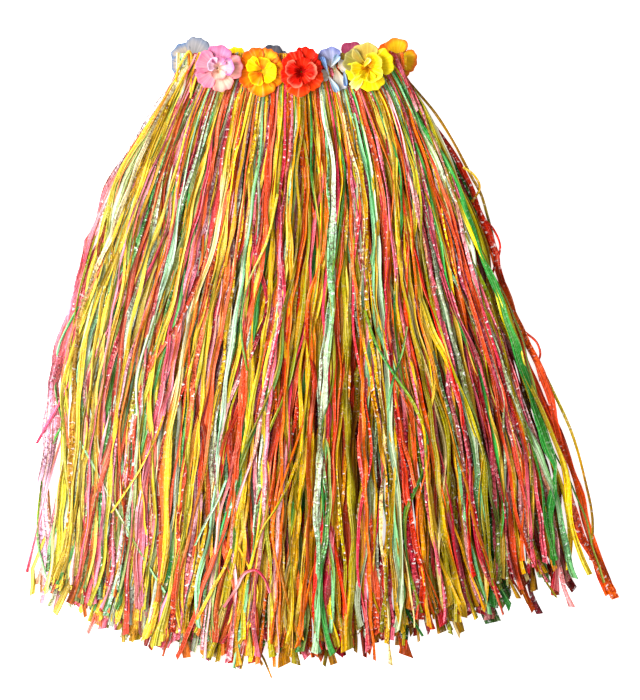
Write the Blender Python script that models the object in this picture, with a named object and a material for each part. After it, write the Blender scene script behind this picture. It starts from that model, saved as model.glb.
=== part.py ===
"""Grass skirt of coloured raffia film with a flower waistband, spread out flat.

Frame: +X along the waist, +Y from the hem towards the waist, +Z up off the surface that it lies on.
The origin is the middle of the skirt's box, on that surface. Lengths below are millimetres, measured
from the middle of the waist line ("below" grows towards the hem), until mesh_object turns them into
metres and centre_on_surface moves the whole skirt over its origin.

The ribbons are folded in half over the elastic, so each run of the elastic carries one U-shaped strip
of folded heads with a leg on either side. The band lies flattened, which stacks four legs, and the
locks of each leg part into two rows as the fan widens: eight rows, one over the other.
"""
import math
from typing import NamedTuple

import bmesh
import bpy
import numpy as np

MM = 0.001
SEAM = 0.3                    # air between pieces that touch

# ---- elastic waistband, a flattened loop
BAND_HALF = 150.0             # half of the loop's width, fold to fold
BAND_WIDTH = 12.0
BAND_WALL = 1.2
FOLD_STEPS = 6                # facets round each end fold

# ---- folded heads of the locks
LOCKS_PER_LEG = 54
LEG_WALL = 1.8
LEG_STEP = LEG_WALL + BAND_WALL + 2 * SEAM      # from one leg up to the next
LEG_RISE = 6.3                # underside of the lowest leg, over the back flowers
HEAD_HALF = 142.0
HEAD_DROP = 8.0               # the heads end this far below the waist line
HEAD_STEPS = 4                # facets over the top of the elastic

# ---- fan of locks
ROW_INSET = 0.013             # each higher row spreads this much less than the one under it
BUNCH = 0.18                  # how strongly neighbouring locks crowd together
BUNCH_WAVES = (3.0, 4.0, 2.5, 3.5)              # crowded places across the fan, for each leg
WIDTH_SPREAD = 0.16           # widest and narrowest lock against the row's width
RIDGE_LEAN = 0.22             # how far a ridge may stand off its lock's middle, as a share of width
ROOT_SECTIONS = 2             # sections near the heads where all locks are equally wide
TIP_SPREAD = 15.0             # how far the cut ends stand apart in length
TIP_WIDTH = 4.5
TIP_RIDGE = 1.2
SEED = 41


class Section(NamedTuple):
    """A cut across the fan: its edges, its stack of rows and the size of a lock there."""
    below: float              # distance below the waist line
    left: float               # edges of the fan
    right: float
    hang: float               # how far the middle of the fan hangs to the left
    rise: float               # underside of the lowest row
    leg_mid: float            # step between legs in the middle of the fan
    leg_edge: float           # and at its edges
    split: float              # step between a leg's two rows, as a share of the leg step
    gather: float             # how far the higher rows have drawn in, 0 to 1
    sway: float               # sideways wander of a lock
    width: float
    ridge: float


SECTIONS = (
    #       below   left   right  hang  rise  mid  edge  split gather sway width ridge
    Section(HEAD_DROP, -139, 139, 0.0, LEG_RISE, LEG_STEP, LEG_STEP, 0.0, 0.0, 0.0, 4.7, LEG_WALL),
    Section(50.0,   -168,  172,    0.0,  3.4,  4.7, 4.5,  0.30, 0.2,   0.0, 5.3,  1.8),
    Section(105.0,  -204,  207,    0.0,  0.9,  6.4, 5.4,  0.50, 0.6,   0.8, 6.2,  2.0),
    Section(180.0,  -246,  245,    3.0,  0.0,  7.4, 5.2,  0.50, 1.0,   2.0, 7.2,  2.0),
    Section(290.0,  -281,  282,   13.0,  0.0,  7.8, 5.0,  0.50, 1.0,   2.2, 8.2,  2.0),
    Section(400.0,  -310,  332,   27.0,  0.0,  7.8, 5.0,  0.50, 1.0,   2.4, 8.8,  2.0),
    Section(520.0,  -325,  380,   40.0,  0.0,  7.4, 5.0,  0.50, 1.0,   2.6, 9.4,  2.0),
    Section(640.0,  -337,  405,   48.0,  0.0,  6.4, 5.0,  0.50, 1.0,   2.8, 9.6,  2.0),
    Section(840.0,  -372,  490,   66.0,  0.0,  5.2, 5.0,  0.50, 1.0,   2.8, 9.6,  2.0),
)


class Reach(NamedTuple):
    """How far below the waist the cut ends come, at a place across the fan from -1 to 1."""
    across: float
    below: float


HEM = (
    Reach(-1.00, 690.0), Reach(-0.85, 714.0), Reach(-0.60, 738.0), Reach(-0.40, 760.0),
    Reach(-0.20, 780.0), Reach(0.00, 790.0), Reach(0.44, 776.0), Reach(0.52, 752.0),
    Reach(0.70, 730.0), Reach(0.82, 692.0), Reach(1.00, 676.0),
)

# ---- flowers
PETAL_WALL = 1.0
PETAL_SAMPLES = 5             # points along each petal's rim
NOTCH = 0.24                  # depth of the notch between two petals, as a share of the radius
PETAL_ROUND = 0.6             # under 1 rounds the petals and sharpens the notches
THROAT = 0.5                  # within this share of the radius the petals are still one disc
OUTER_RINGS = (0.28, 0.64, 1.0)                 # shares of the radius that carry points
FLAT_RINGS = (0.55, 1.0)
INNER_SHARE = 0.66            # radius of the inner ring against the outer
INNER_CLEAR = 2.2             # the inner ring's seat above the outer's
INNER_CUP = 3.2               # the inner ring's rise to the rim against the outer's
SEAT_CLEAR = 0.9
SEAT = LEG_RISE + 3 * LEG_STEP + LEG_WALL + SEAT_CLEAR      # front flowers sit on the top leg
FLAT_CLEAR = 1.5              # a flat flower's outer ring above its inner one


class Flower(NamedTuple):
    """One waist flower; side is front, or under for one pressed flat beneath the skirt."""
    name: str
    side: str
    x: float
    y: float
    half_x: float
    half_y: float
    petals: int
    turn: float               # degrees to the first petal
    lift: float               # how far the petals rise out of the seat
    cup: float                # further rise to the rim
    ruffle: float
    waves: int                # ruffles round the rim
    colour: str


FLOWERS = (
    #      name          side      x      y   half_x half_y petals turn lift cup ruffle waves colour
    Flower("pink", "front",       -97.0, -12.0, 33.0, 31.0, 5, 118.0, 7.2, 2.4, 1.0, 10, "petal_pink"),
    Flower("orange", "front",     -39.0, -16.0, 31.5, 33.0, 5,  66.0, 2.0, 1.4, 0.8,  5, "petal_orange"),
    Flower("red", "front",         13.0, -17.0, 28.0, 34.0, 5,  95.0, 7.2, 2.4, 1.0,  8, "petal_red"),
    Flower("lavender", "front",    55.0, -13.0, 21.0, 33.0, 4,  90.0, 2.0, 1.4, 0.8,  6, "petal_lavender"),
    Flower("yellow", "front",     101.0, -11.0, 36.0, 33.0, 5, 140.0, 7.2, 2.4, 1.0, 10, "petal_yellow"),
    Flower("end_blue", "under",  -132.0,  -5.0, 29.0, 36.0, 5, 100.0, 0.0, 0.0, 0.7,  5, "petal_slate"),
    Flower("end_orange", "under", 138.0,   1.0, 29.0, 30.0, 5,  60.0, 0.0, 0.0, 0.7,  8, "petal_orange"),
    Flower("rear_yellow", "under", -72.0, -13.0, 22.0, 32.0, 5, 90.0, 0.0, 0.0, 0.7,  5, "petal_yellow"),
    Flower("rear_slate", "under",  -25.0, -12.0, 22.0, 32.0, 5, 90.0, 0.0, 0.0, 0.7,  5, "petal_slate"),
    Flower("rear_mauve", "under",   81.0,  -7.0, 23.0, 32.0, 5, 80.0, 0.0, 0.0, 0.7,  5, "petal_mauve"),
)


class Finish(NamedTuple):
    """A piece's base colour and gloss."""
    red: float
    green: float
    blue: float
    roughness: float


FINISHES = {
    "elastic": Finish(0.86, 0.84, 0.80, 0.85),
    "raffia_front": Finish(0.78, 0.34, 0.10, 0.35),
    "raffia_back": Finish(0.46, 0.30, 0.08, 0.35),
    "petal_pink": Finish(0.88, 0.36, 0.48, 0.75),
    "petal_orange": Finish(0.95, 0.42, 0.03, 0.75),
    "petal_red": Finish(0.86, 0.06, 0.02, 0.75),
    "petal_lavender": Finish(0.45, 0.52, 0.78, 0.75),
    "petal_yellow": Finish(0.95, 0.72, 0.04, 0.75),
    "petal_slate": Finish(0.34, 0.38, 0.46, 0.75),
    "petal_mauve": Finish(0.60, 0.18, 0.30, 0.75),
}


def clear_scene():
    for obj in list(bpy.data.objects):
        bpy.data.objects.remove(obj, do_unlink=True)


def material(colour):
    """One Principled material for each named finish, made the first time it is asked for."""
    if colour in bpy.data.materials:
        return bpy.data.materials[colour]
    finish = FINISHES[colour]
    made = bpy.data.materials.new(colour)
    made.use_nodes = True
    shader = made.node_tree.nodes["Principled BSDF"]
    shader.inputs["Base Color"].default_value = (finish.red, finish.green, finish.blue, 1.0)
    shader.inputs["Roughness"].default_value = finish.roughness
    return made


def mesh_object(name, bm, colour):
    """An object from a bmesh in millimetres; a closed one has its faces turned outwards."""
    if all(edge.is_manifold for edge in bm.edges):
        bmesh.ops.recalc_face_normals(bm, faces=bm.faces)
    bmesh.ops.scale(bm, vec=(MM, MM, MM), verts=bm.verts)
    mesh = bpy.data.meshes.new(name)
    bm.to_mesh(mesh)
    bm.free()
    obj = bpy.data.objects.new(name, mesh)
    obj.data.materials.append(material(colour))
    bpy.context.scene.collection.objects.link(obj)
    return obj


# ---------------------------------------------------------------- waistband

def slot_path(inset):
    """The loop of the band seen along +Y: two flat runs joined by a half circle at each end."""
    low = LEG_RISE + LEG_WALL + SEAM + BAND_WALL / 2
    radius = LEG_STEP
    fold_x = BAND_HALF - radius - BAND_WALL / 2
    for side in (1, -1):
        for step in range(FOLD_STEPS + 1):
            angle = -side * math.pi / 2 + math.pi * step / FOLD_STEPS
            reach = radius - inset
            yield side * fold_x + reach * math.cos(angle), low + radius + reach * math.sin(angle)


def waistband():
    """Elastic strip: the wall between an outer and an inner slot, as wide as the elastic."""
    bm = bmesh.new()
    edges = []
    for y in (-BAND_WIDTH / 2, BAND_WIDTH / 2):
        for inset in (-BAND_WALL / 2, BAND_WALL / 2):
            edges.append([bm.verts.new((x, y, z)) for x, z in slot_path(inset)])
    front_out, front_in, back_out, back_in = edges
    walls = ((front_out, back_out), (front_in, back_in), (front_out, front_in), (back_out, back_in))
    for first, second in walls:
        for i, corner in enumerate(first):
            j = (i + 1) % len(first)
            bm.faces.new((corner, first[j], second[j], second[i]))
    return mesh_object("waistband", bm, "elastic")


# ---------------------------------------------------------------- fringe

def at_depth(below, column):
    """A column of SECTIONS read at a depth, straight between two sections."""
    depths = [section.below for section in SECTIONS]
    return float(np.interp(below, depths, [getattr(section, column) for section in SECTIONS]))


def row_height(row, x, below):
    """Underside of a row: the stack is thick in the middle of the fan and thin at its edges."""
    left, right = at_depth(below, "left"), at_depth(below, "right")
    across = (x - (left + right) / 2) / ((right - left) / 2)
    edge, mid = at_depth(below, "leg_edge"), at_depth(below, "leg_mid")
    leg_step = edge + (mid - edge) * max(0.0, 1.0 - across * across)
    return at_depth(below, "rise") + leg_step * (row // 2 + at_depth(below, "split") * (row % 2))


def lock_place(leg, lock, below, wander):
    """Where a lock's middle lies across the fan at a depth, and its place from -1 to 1."""
    row = 2 * leg + lock % 2
    across = -1.0 + 2.0 * lock / (LOCKS_PER_LEG - 1)
    waves = math.pi * BUNCH_WAVES[leg]
    gather = at_depth(below, "gather")
    crowded = across + BUNCH * gather * math.sin(waves * across + leg) / waves
    crowded *= 1.0 - ROW_INSET * row * gather
    left, right = at_depth(below, "left"), at_depth(below, "right")
    middle, half, hang = (left + right) / 2, (right - left) / 2, at_depth(below, "hang")
    x = half * crowded + middle * crowded ** 2 - hang * (1.0 - crowded ** 2) ** 2
    return x + at_depth(below, "sway") * wander, across


def lock_section(leg, lock, below, wander, width, ridge, lean):
    """Three corners of a lock: the two sides of its flat underside and its ridge."""
    row = 2 * leg + lock % 2
    x, _ = lock_place(leg, lock, below, wander)
    corners = []
    for side in (-0.5, 0.5):
        edge = x + side * width
        corners.append((edge, -below, row_height(row, edge, below)))
    corners.append((x + lean * width, -below, row_height(row, x, below) + ridge))
    return corners


def lock_rings(bm, leg, rng):
    """The corner rings of every lock of a leg, from its root down to its cut end."""
    locks = []
    for lock in range(LOCKS_PER_LEG):
        wander = rng.uniform(-1.0, 1.0, len(SECTIONS))
        stout = 1.0 + WIDTH_SPREAD * rng.uniform(-1.0, 1.0)
        lean = RIDGE_LEAN * rng.uniform(-1.0, 1.0)
        rings = []
        for index, section in enumerate(SECTIONS[:-1]):
            spread = 1.0 if index < ROOT_SECTIONS else stout
            corners = lock_section(leg, lock, section.below, wander[index],
                                   section.width * spread, section.ridge, lean)
            rings.append([bm.verts.new(corner) for corner in corners])
        _, across = lock_place(leg, lock, SECTIONS[-2].below, 0.0)
        reach = float(np.interp(across, [r.across for r in HEM], [r.below for r in HEM]))
        tip = reach + TIP_SPREAD * rng.uniform(-1.0, 1.0)
        corners = lock_section(leg, lock, tip, wander[-1], TIP_WIDTH, TIP_RIDGE, lean)
        rings.append([bm.verts.new(corner) for corner in corners])
        locks.append(rings)
    return locks


def skin_lock(bm, rings):
    """Walls of one lock between its rings, and its cut end."""
    for upper, lower in zip(rings, rings[1:]):
        for i in range(3):
            j = (i + 1) % 3
            bm.faces.new((upper[i], upper[j], lower[j], lower[i]))
    bm.faces.new(rings[-1])


def fan_face(bm, row, far_left, far_right):
    """A leg's broad face, in triangles from its long lower edge to its two upper corners."""
    middle = len(row) // 2
    for i, (first, second) in enumerate(zip(row, row[1:])):
        bm.faces.new((first, second, far_left if i < middle else far_right))
    bm.faces.new((row[middle], far_right, far_left))


def head_arc(bm, x, low, radius):
    """Points over the top of the elastic, from the lower leg round to the upper one."""
    centre = low + (LEG_STEP + LEG_WALL) / 2
    top = BAND_WIDTH / 2 + SEAM
    for step in range(HEAD_STEPS + 1):
        angle = -math.pi / 2 + math.pi * step / HEAD_STEPS
        yield bm.verts.new((x, top + radius * math.cos(angle), centre + radius * math.sin(angle)))


def add_heads(bm, lower_leg):
    """The bend of the folded heads over the elastic: an outer and an inner arc at both ends."""
    low = LEG_RISE + LEG_STEP * lower_leg
    outer, inner = {}, {}
    for x in (-HEAD_HALF, HEAD_HALF):
        outer[x] = list(head_arc(bm, x, low, (LEG_STEP + LEG_WALL) / 2))
        inner[x] = list(head_arc(bm, x, low, (LEG_STEP - LEG_WALL) / 2))
    for first in range(HEAD_STEPS):
        last = first + 1
        for arc in (outer, inner):
            near, far = arc[-HEAD_HALF], arc[HEAD_HALF]
            bm.faces.new((near[first], far[first], far[last], near[last]))
        for x in (-HEAD_HALF, HEAD_HALF):
            bm.faces.new((outer[x][first], outer[x][last], inner[x][last], inner[x][first]))
    return outer, inner


def add_leg(bm, leg, under_arc, over_arc, end, rng):
    """One flat leg of the heads, from an end of the two arcs down to the roots of its locks."""
    left, right = -HEAD_HALF, HEAD_HALF
    z = LEG_RISE + LEG_STEP * leg
    corners = {(x, dz): bm.verts.new((x, -HEAD_DROP, z + dz))
               for x in (left, right) for dz in (0.0, LEG_WALL)}
    bottom, top = [corners[left, 0.0]], [corners[left, LEG_WALL]]
    for rings in lock_rings(bm, leg, rng):
        bottom += [rings[0][0], rings[0][1]]
        top.append(rings[0][2])
        skin_lock(bm, rings)
    bottom.append(corners[right, 0.0])
    top.append(corners[right, LEG_WALL])
    for i in range(len(top) - 1):
        bm.faces.new((bottom[2 * i], bottom[2 * i + 1], top[i + 1], top[i]))
    fan_face(bm, bottom, under_arc[left][end], under_arc[right][end])
    fan_face(bm, top, over_arc[left][end], over_arc[right][end])
    for x in (left, right):
        bm.faces.new((corners[x, 0.0], under_arc[x][end], over_arc[x][end], corners[x, LEG_WALL]))


def fringe(name, lower_leg, colour):
    """One run's locks: the U of folded heads, with locks running out of both its lower edges."""
    bm = bmesh.new()
    rng = np.random.default_rng(SEED + lower_leg)
    outer, inner = add_heads(bm, lower_leg)
    add_leg(bm, lower_leg, outer, inner, 0, rng)
    add_leg(bm, lower_leg + 1, inner, outer, -1, rng)
    return mesh_object(name, bm, colour)


# ---------------------------------------------------------------- flowers

def petal_edge(petals, turn, angle):
    """Share of the full radius at a bearing: round petals with a notch between each pair."""
    phase = petals * (angle - math.radians(turn))
    return 1.0 - NOTCH * (1.0 - abs(math.cos(phase / 2)) ** PETAL_ROUND)


def petal_ring(name, flower, size, seat, lift, cup, ruffle, shares):
    """A die-cut ring of petals as a disc of points round its middle, thickened upwards.

    Height over the seat = lift once out of the middle + cup x share^2
                           + ruffle x share^2 x (1 + sin(waves x bearing)) / 2."""
    bm = bmesh.new()
    middle = bm.verts.new((flower.x, flower.y, seat))
    count = flower.petals * PETAL_SAMPLES
    rings = []
    for share in shares:
        ring = []
        for i in range(count):
            angle = math.radians(flower.turn) + 2 * math.pi * (i + 0.5 * PETAL_SAMPLES) / count
            reach = share
            if share > THROAT:
                reach *= petal_edge(flower.petals, flower.turn, angle)
            wave = 0.5 + 0.5 * math.sin(flower.waves * angle)
            height = seat + lift + cup * share ** 2 + ruffle * share ** 2 * wave
            ring.append(bm.verts.new((flower.x + size * flower.half_x * reach * math.cos(angle),
                                      flower.y + size * flower.half_y * reach * math.sin(angle),
                                      height)))
        rings.append(ring)
    for i in range(count):
        j = (i + 1) % count
        bm.faces.new((middle, rings[0][i], rings[0][j]))
        for inside, outside in zip(rings, rings[1:]):
            bm.faces.new((inside[i], outside[i], outside[j], inside[j]))
    obj = mesh_object(name, bm, flower.colour)
    wall = obj.modifiers.new("petal wall", "SOLIDIFY")
    wall.thickness = PETAL_WALL * MM
    wall.offset = 1.0
    return obj


def waist_flower(flower):
    """A wide outer ring with a smaller, more cupped ring on its face."""
    outer_name = "flower_" + flower.name + "_outer"
    inner_name = "flower_" + flower.name + "_inner"
    if flower.side == "front":
        return (
            petal_ring(outer_name, flower, 1.0, SEAT, flower.lift, flower.cup, flower.ruffle, OUTER_RINGS),
            petal_ring(inner_name, flower, INNER_SHARE, SEAT + INNER_CLEAR, flower.lift,
                       INNER_CUP * flower.cup, flower.ruffle, OUTER_RINGS),
        )
    return (
        petal_ring(inner_name, flower, INNER_SHARE, 0.0, 0.0, 0.0, 0.0, FLAT_RINGS),
        petal_ring(outer_name, flower, 1.0, FLAT_CLEAR, 0.0, 0.0, flower.ruffle, FLAT_RINGS),
    )


def centre_on_surface(objects):
    """Move every mesh so that the skirt's box stands with the middle of its base on the origin."""
    points = np.array([corner for obj in objects for corner in obj.bound_box])
    low, high = points.min(axis=0), points.max(axis=0)
    shift = np.array(((low[0] + high[0]) / 2, (low[1] + high[1]) / 2, low[2]))
    for obj in objects:
        flat = np.empty(3 * len(obj.data.vertices))
        obj.data.vertices.foreach_get("co", flat)
        flat = (flat.reshape(-1, 3) - shift).ravel()
        obj.data.vertices.foreach_set("co", flat)
        obj.data.update()


def main():
    clear_scene()
    pieces = [
        waistband(),
        fringe("fringe_back", 0, "raffia_back"),
        fringe("fringe_front", 2, "raffia_front"),
    ]
    for flower in FLOWERS:
        pieces.extend(waist_flower(flower))
    centre_on_surface(pieces)


main()
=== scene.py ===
"""Looks of the grass skirt: dyed film ribbons, fabric flowers and the elastic, on a white table.

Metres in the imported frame: +X along the waist, +Y from the hem to the waist, +Z up off the table.
Tables hold millimetres from the middle of the waist line, with "below" growing towards the hem.
"""
import math
from functools import cache
from typing import NamedTuple

import bpy
import numpy as np
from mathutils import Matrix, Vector


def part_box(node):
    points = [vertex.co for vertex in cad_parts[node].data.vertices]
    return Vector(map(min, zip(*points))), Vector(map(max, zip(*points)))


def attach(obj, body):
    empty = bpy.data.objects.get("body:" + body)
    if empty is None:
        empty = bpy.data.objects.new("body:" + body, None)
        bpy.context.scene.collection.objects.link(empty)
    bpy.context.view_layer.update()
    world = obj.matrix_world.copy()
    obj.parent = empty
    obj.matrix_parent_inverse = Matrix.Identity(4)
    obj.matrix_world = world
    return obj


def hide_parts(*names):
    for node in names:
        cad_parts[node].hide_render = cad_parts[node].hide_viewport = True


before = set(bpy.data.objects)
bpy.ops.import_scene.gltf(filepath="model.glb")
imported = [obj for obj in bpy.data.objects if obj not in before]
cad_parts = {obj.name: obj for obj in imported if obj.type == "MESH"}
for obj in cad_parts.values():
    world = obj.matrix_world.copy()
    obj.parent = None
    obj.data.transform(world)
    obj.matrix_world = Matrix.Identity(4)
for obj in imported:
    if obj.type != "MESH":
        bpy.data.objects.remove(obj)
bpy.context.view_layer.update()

MM = 0.001
BAND_LOW, BAND_HIGH = (np.array(corner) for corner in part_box("waistband"))
WAIST = (BAND_LOW + BAND_HIGH) / 2          # middle of the waist line
ON_TABLE = WAIST * (1, 1, 0)                # and its foot on the table
TURN = 2 * math.pi

# ---------------------------------------------------------------- the fan, as the solids have it
LOCKS_PER_LEG = 54
HEAD_DROP = 8.0               # the legs leave the folded heads this far below the waist line
ROW_INSET = 0.013             # each row is this share narrower than the one under it
BUNCH = 0.18                  # how closely the locks crowd together
BUNCH_WAVES = (3.0, 4.0, 2.5, 3.5)          # half waves of that crowding, in each leg
TIP_SPREAD = 15.0             # by how much the locks' cut ends differ
SEED = 41                     # of the locks' own random numbers
SECTION_COLUMNS = "below left right hang rise leg_mid leg_edge split gather sway".split()
SECTIONS = np.array((
    (8.0,   -139, 139,  0.0, 6.3, 3.6, 3.6, 0.00, 0.0, 0.0),
    (50.0,  -168, 172,  0.0, 3.4, 4.7, 4.5, 0.30, 0.2, 0.0),
    (105.0, -204, 207,  0.0, 0.9, 6.4, 5.4, 0.50, 0.6, 0.8),
    (180.0, -246, 245,  3.0, 0.0, 7.4, 5.2, 0.50, 1.0, 2.0),
    (290.0, -281, 282, 13.0, 0.0, 7.8, 5.0, 0.50, 1.0, 2.2),
    (400.0, -310, 332, 27.0, 0.0, 7.8, 5.0, 0.50, 1.0, 2.4),
    (520.0, -325, 380, 40.0, 0.0, 7.4, 5.0, 0.50, 1.0, 2.6),
    (640.0, -337, 405, 48.0, 0.0, 6.4, 5.0, 0.50, 1.0, 2.8),
    (840.0, -372, 490, 66.0, 0.0, 5.2, 5.0, 0.50, 1.0, 2.8),
))
HEM_ACROSS = (-1.0, -0.85, -0.60, -0.40, -0.20, 0.00, 0.44, 0.52, 0.70, 0.82, 1.0)
HEM_BELOW = (690.0, 714.0, 738.0, 760.0, 780.0, 790.0, 776.0, 752.0, 730.0, 692.0, 676.0)


def smooth_read(knots, values, at):
    """Cubic through the knots, whose slope at each knot is that between its neighbours.

    values has one row for all of at, or one row for each row of at."""
    knots, values = np.asarray(knots, float), np.asarray(values, float)
    slopes = np.gradient(values, knots, axis=-1)
    left = np.clip(np.searchsorted(knots, at, side="right") - 1, 0, len(knots) - 2)
    gap = knots[left + 1] - knots[left]
    t = (at - knots[left]) / gap

    def pick(table, index):
        """The table's values at an index, row by row where it has rows."""
        return table[index] if table.ndim == 1 else np.take_along_axis(table, index, axis=-1)

    start, end = pick(values, left), pick(values, left + 1)
    out, into = pick(slopes, left) * gap, pick(slopes, left + 1) * gap
    return ((1 + 2 * t) * (1 - t) ** 2 * start + t * (1 - t) ** 2 * out
            + t * t * (3 - 2 * t) * end + t * t * (t - 1) * into)


def fan(column, below):
    """A column of the fan's sections at any depth."""
    return smooth_read(SECTIONS[:, 0], SECTIONS[:, SECTION_COLUMNS.index(column)], below)


def fan_x(leg, row, across, below, wander):
    """Place across the fan, in mm: crowded by a slow sine, drawn in row by row, and swayed. The
    middle of the fan hangs to the left of straight down."""
    waves = math.pi * BUNCH_WAVES[leg]
    gather = fan("gather", below)
    crowded = across + BUNCH * gather * np.sin(waves * across + leg) / waves
    crowded = crowded * (1.0 - ROW_INSET * row * gather)
    left, right = fan("left", below), fan("right", below)
    middle, half = (left + right) / 2, (right - left) / 2
    x = half * crowded + middle * crowded ** 2 - fan("hang", below) * (1.0 - crowded ** 2) ** 2
    return x + fan("sway", below) * wander


def fan_z(row, x, below):
    """Underside of a row, in mm, with rows 0 to 7 from the table up: a stack that is thick in the
    fan's middle and thin at its edges."""
    left, right = fan("left", below), fan("right", below)
    across = (x - (left + right) / 2) / ((right - left) / 2)
    edge, middle = fan("leg_edge", below), fan("leg_mid", below)
    leg_step = edge + (middle - edge) * np.maximum(0.0, 1.0 - across * across)
    return fan("rise", below) + leg_step * (row // 2 + fan("split", below) * (row % 2))


# ---------------------------------------------------------------- film colours
def linear(*rgb):
    """Linear light from 0 to 255 display values."""
    share = np.array(rgb, float) / 255.0
    return np.where(share <= 0.04045, share / 12.92, ((share + 0.055) / 1.055) ** 2.4)


DYES = {
    "rust": linear(188, 52, 10), "red": linear(226, 44, 12), "scarlet": linear(236, 76, 14),
    "coral": linear(238, 104, 60), "rose": linear(218, 60, 94), "pink": linear(240, 124, 154),
    "blush": linear(242, 180, 192), "magenta": linear(190, 36, 72), "pearl": linear(192, 206, 188),
    "mint": linear(144, 207, 160), "green": linear(70, 160, 80), "leaf": linear(134, 156, 24),
    "lime": linear(186, 176, 18), "yellow": linear(232, 190, 8), "gold": linear(226, 166, 4),
    "orange": linear(238, 120, 8), "straw": linear(236, 204, 84), "sage": linear(152, 164, 92),
    "olive": linear(158, 134, 6), "amber": linear(204, 132, 2), "cream": linear(238, 220, 170),
}


class Range(NamedTuple):
    """Dyes that one ribbon drifts between, and how common such ribbons are."""
    left: float               # share of the ribbons at the fan's left edge
    middle: float             # in its middle
    right: float              # and at its right edge
    crackled: float           # share of these ribbons that is crackled
    cool: float               # how much rarer it is in the covered rows
    dyes: str


RANGES = (
    Range(0.44, 0.29, 0.27, 0.16, 0.3, "yellow straw yellow lime gold yellow cream gold yellow"),  # sun
    Range(0.17, 0.22, 0.24, 0.14, 0.0, "orange scarlet orange rust orange coral amber gold"),  # flame
    Range(0.01, 0.10, 0.05, 0.40, 0.0, "red coral rose scarlet rust rose magenta red"),  # cherry
    Range(0.14, 0.20, 0.13, 0.75, 0.1, "rose pink blush pink coral pink magenta blush"),  # petal
    Range(0.18, 0.11, 0.12, 0.60, 0.9, "mint pearl sage pearl mint green pearl"),  # sea
    Range(0.07, 0.08, 0.19, 0.30, 0.5, "leaf olive green sage green lime olive green yellow"),  # meadow
)
DYE_STOPS = 6                 # dyes that a ribbon passes through
DYE_BLEND = (12.0, 60.0)      # mm in which one gives way to the next

DYE_DEPTH = 1.14              # over 1 deepens and saturates the film
SHADE_DEPTH_RIGHT = 0.11           # painted shade: more depth towards the right side, away from the light
SHADE_DEPTH_CORNER = 0.18           # and more again towards the lower right corner, as painted shade
PAINTED_SHADE = (0.33, 0.35, 0.46)     # painted shade: light kept back at the lower right, most of all blue
PAINTED_SHADE_FROM = 0.55              # it starts this share of SIDE_REACH left of the middle
PAINTED_SHADE_DOWN = (0.55, 0.45)      # its share at the waist, and what is added to it down to the hem
PAINTED_LIGHT_TINT = (0.80, 0.74, 0.56) # painted light: what the colours at the lit left side are paled towards,
PAINTED_LIGHT_SHARE = 0.09                 # by this share
SIDE_REACH = 330.0            # mm from the waist's middle to where the change across is whole
HEM_REACH = 600.0             # mm below the waist to where the change downwards is whole


def drift(rng, ranges, along, reach, x, below):
    """Colours along each ribbon: a walk through its range of dyes, blended over soft steps, then deepened
    and darkened by painted shade towards the right and the lower right, and paled by painted light at the
    left.

    Returns an array of ribbon, point and rgb."""
    count = len(ranges)
    table = np.zeros((count, DYE_STOPS, 3))
    for i, choice in enumerate(ranges):
        dyes = RANGES[choice].dyes.split()
        place = rng.integers(len(dyes))
        for stop in range(DYE_STOPS):
            table[i, stop] = DYES[dyes[place % len(dyes)]]
            place += rng.choice((-1, 0, 1, 1))
    marks = np.sort(rng.uniform(0.0, 1.0, (count, DYE_STOPS - 1)), axis=1) * reach[:, None]
    soft = rng.uniform(*DYE_BLEND, (count, DYE_STOPS - 1))
    colours = np.repeat(table[:, :1], along.shape[1], axis=1)
    for stop in range(1, DYE_STOPS):
        t = (along - marks[:, stop - 1:stop]) / soft[:, stop - 1:stop]
        blend = 1.0 / (1.0 + np.exp(-np.clip(t, -30, 30) * 2.0))
        colours += blend[:, :, None] * (table[:, stop:stop + 1] - table[:, stop - 1:stop])
    sideways, down = np.clip(x / SIDE_REACH, -1.0, 1.0), np.clip(below / HEM_REACH, 0.0, 1.0)
    # painted shade deepens and darkens the colours towards the right and the lower right; painted light
    # pales them at the left
    depth = DYE_DEPTH + SHADE_DEPTH_RIGHT * sideways + SHADE_DEPTH_CORNER * np.maximum(sideways, 0.0) * down
    kept = np.clip(sideways + PAINTED_SHADE_FROM, 0.0, 1.0) * (PAINTED_SHADE_DOWN[0] + PAINTED_SHADE_DOWN[1] * down)
    pale = PAINTED_LIGHT_SHARE * np.maximum(-sideways, 0.0)[..., None]
    colours = np.clip(colours, 0.0, 1.0) ** depth[..., None]
    return (colours + pale * (PAINTED_LIGHT_TINT - colours)) * (1.0 - kept[..., None] * PAINTED_SHADE)


FOLDED_HALF = (0.0, 0.0, 1.0, 1.0, 1.0, 0.0)    # points round a ribbon that a fold covers


def two_tones(rng, colours):
    """Colours of the points round each ribbon: on two ribbons in three, the dye of a place a
    twelfth to a quarter of its length away shows on one half, as where the film is folded over."""
    count, points = colours.shape[:2]
    shift = rng.integers(points // 12, points // 4, count) * rng.choice((-1, 0, 1), count)
    places = np.clip(np.arange(points)[None, :] + shift[:, None], 0, points - 1)
    other = np.take_along_axis(colours, places[..., None], axis=1)
    share = np.array(FOLDED_HALF)[None, None, :, None]
    return colours[:, :, None, :] * (1 - share) + other[:, :, None, :] * share


# ---------------------------------------------------------------- meshes and objects
def quad_mesh(name, places, quads):
    """A smooth mesh of quads from whole arrays of places, in metres, and of corner numbers."""
    mesh = bpy.data.meshes.new(name)
    mesh.vertices.add(len(places))
    mesh.vertices.foreach_set("co", places.astype(np.float32).ravel())
    mesh.loops.add(quads.size)
    mesh.loops.foreach_set("vertex_index", quads.astype(np.int32).ravel())
    mesh.polygons.add(len(quads))
    mesh.polygons.foreach_set("loop_start", np.arange(0, quads.size, 4, dtype=np.int32))
    mesh.update(calc_edges=True)
    mesh.shade_smooth()
    return mesh


def write_map(mesh, name, corners):
    """A UV map, from two numbers for each corner of each face."""
    mesh.uv_layers.new(name=name).data.foreach_set("uv", corners.astype(np.float32).ravel())


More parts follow.
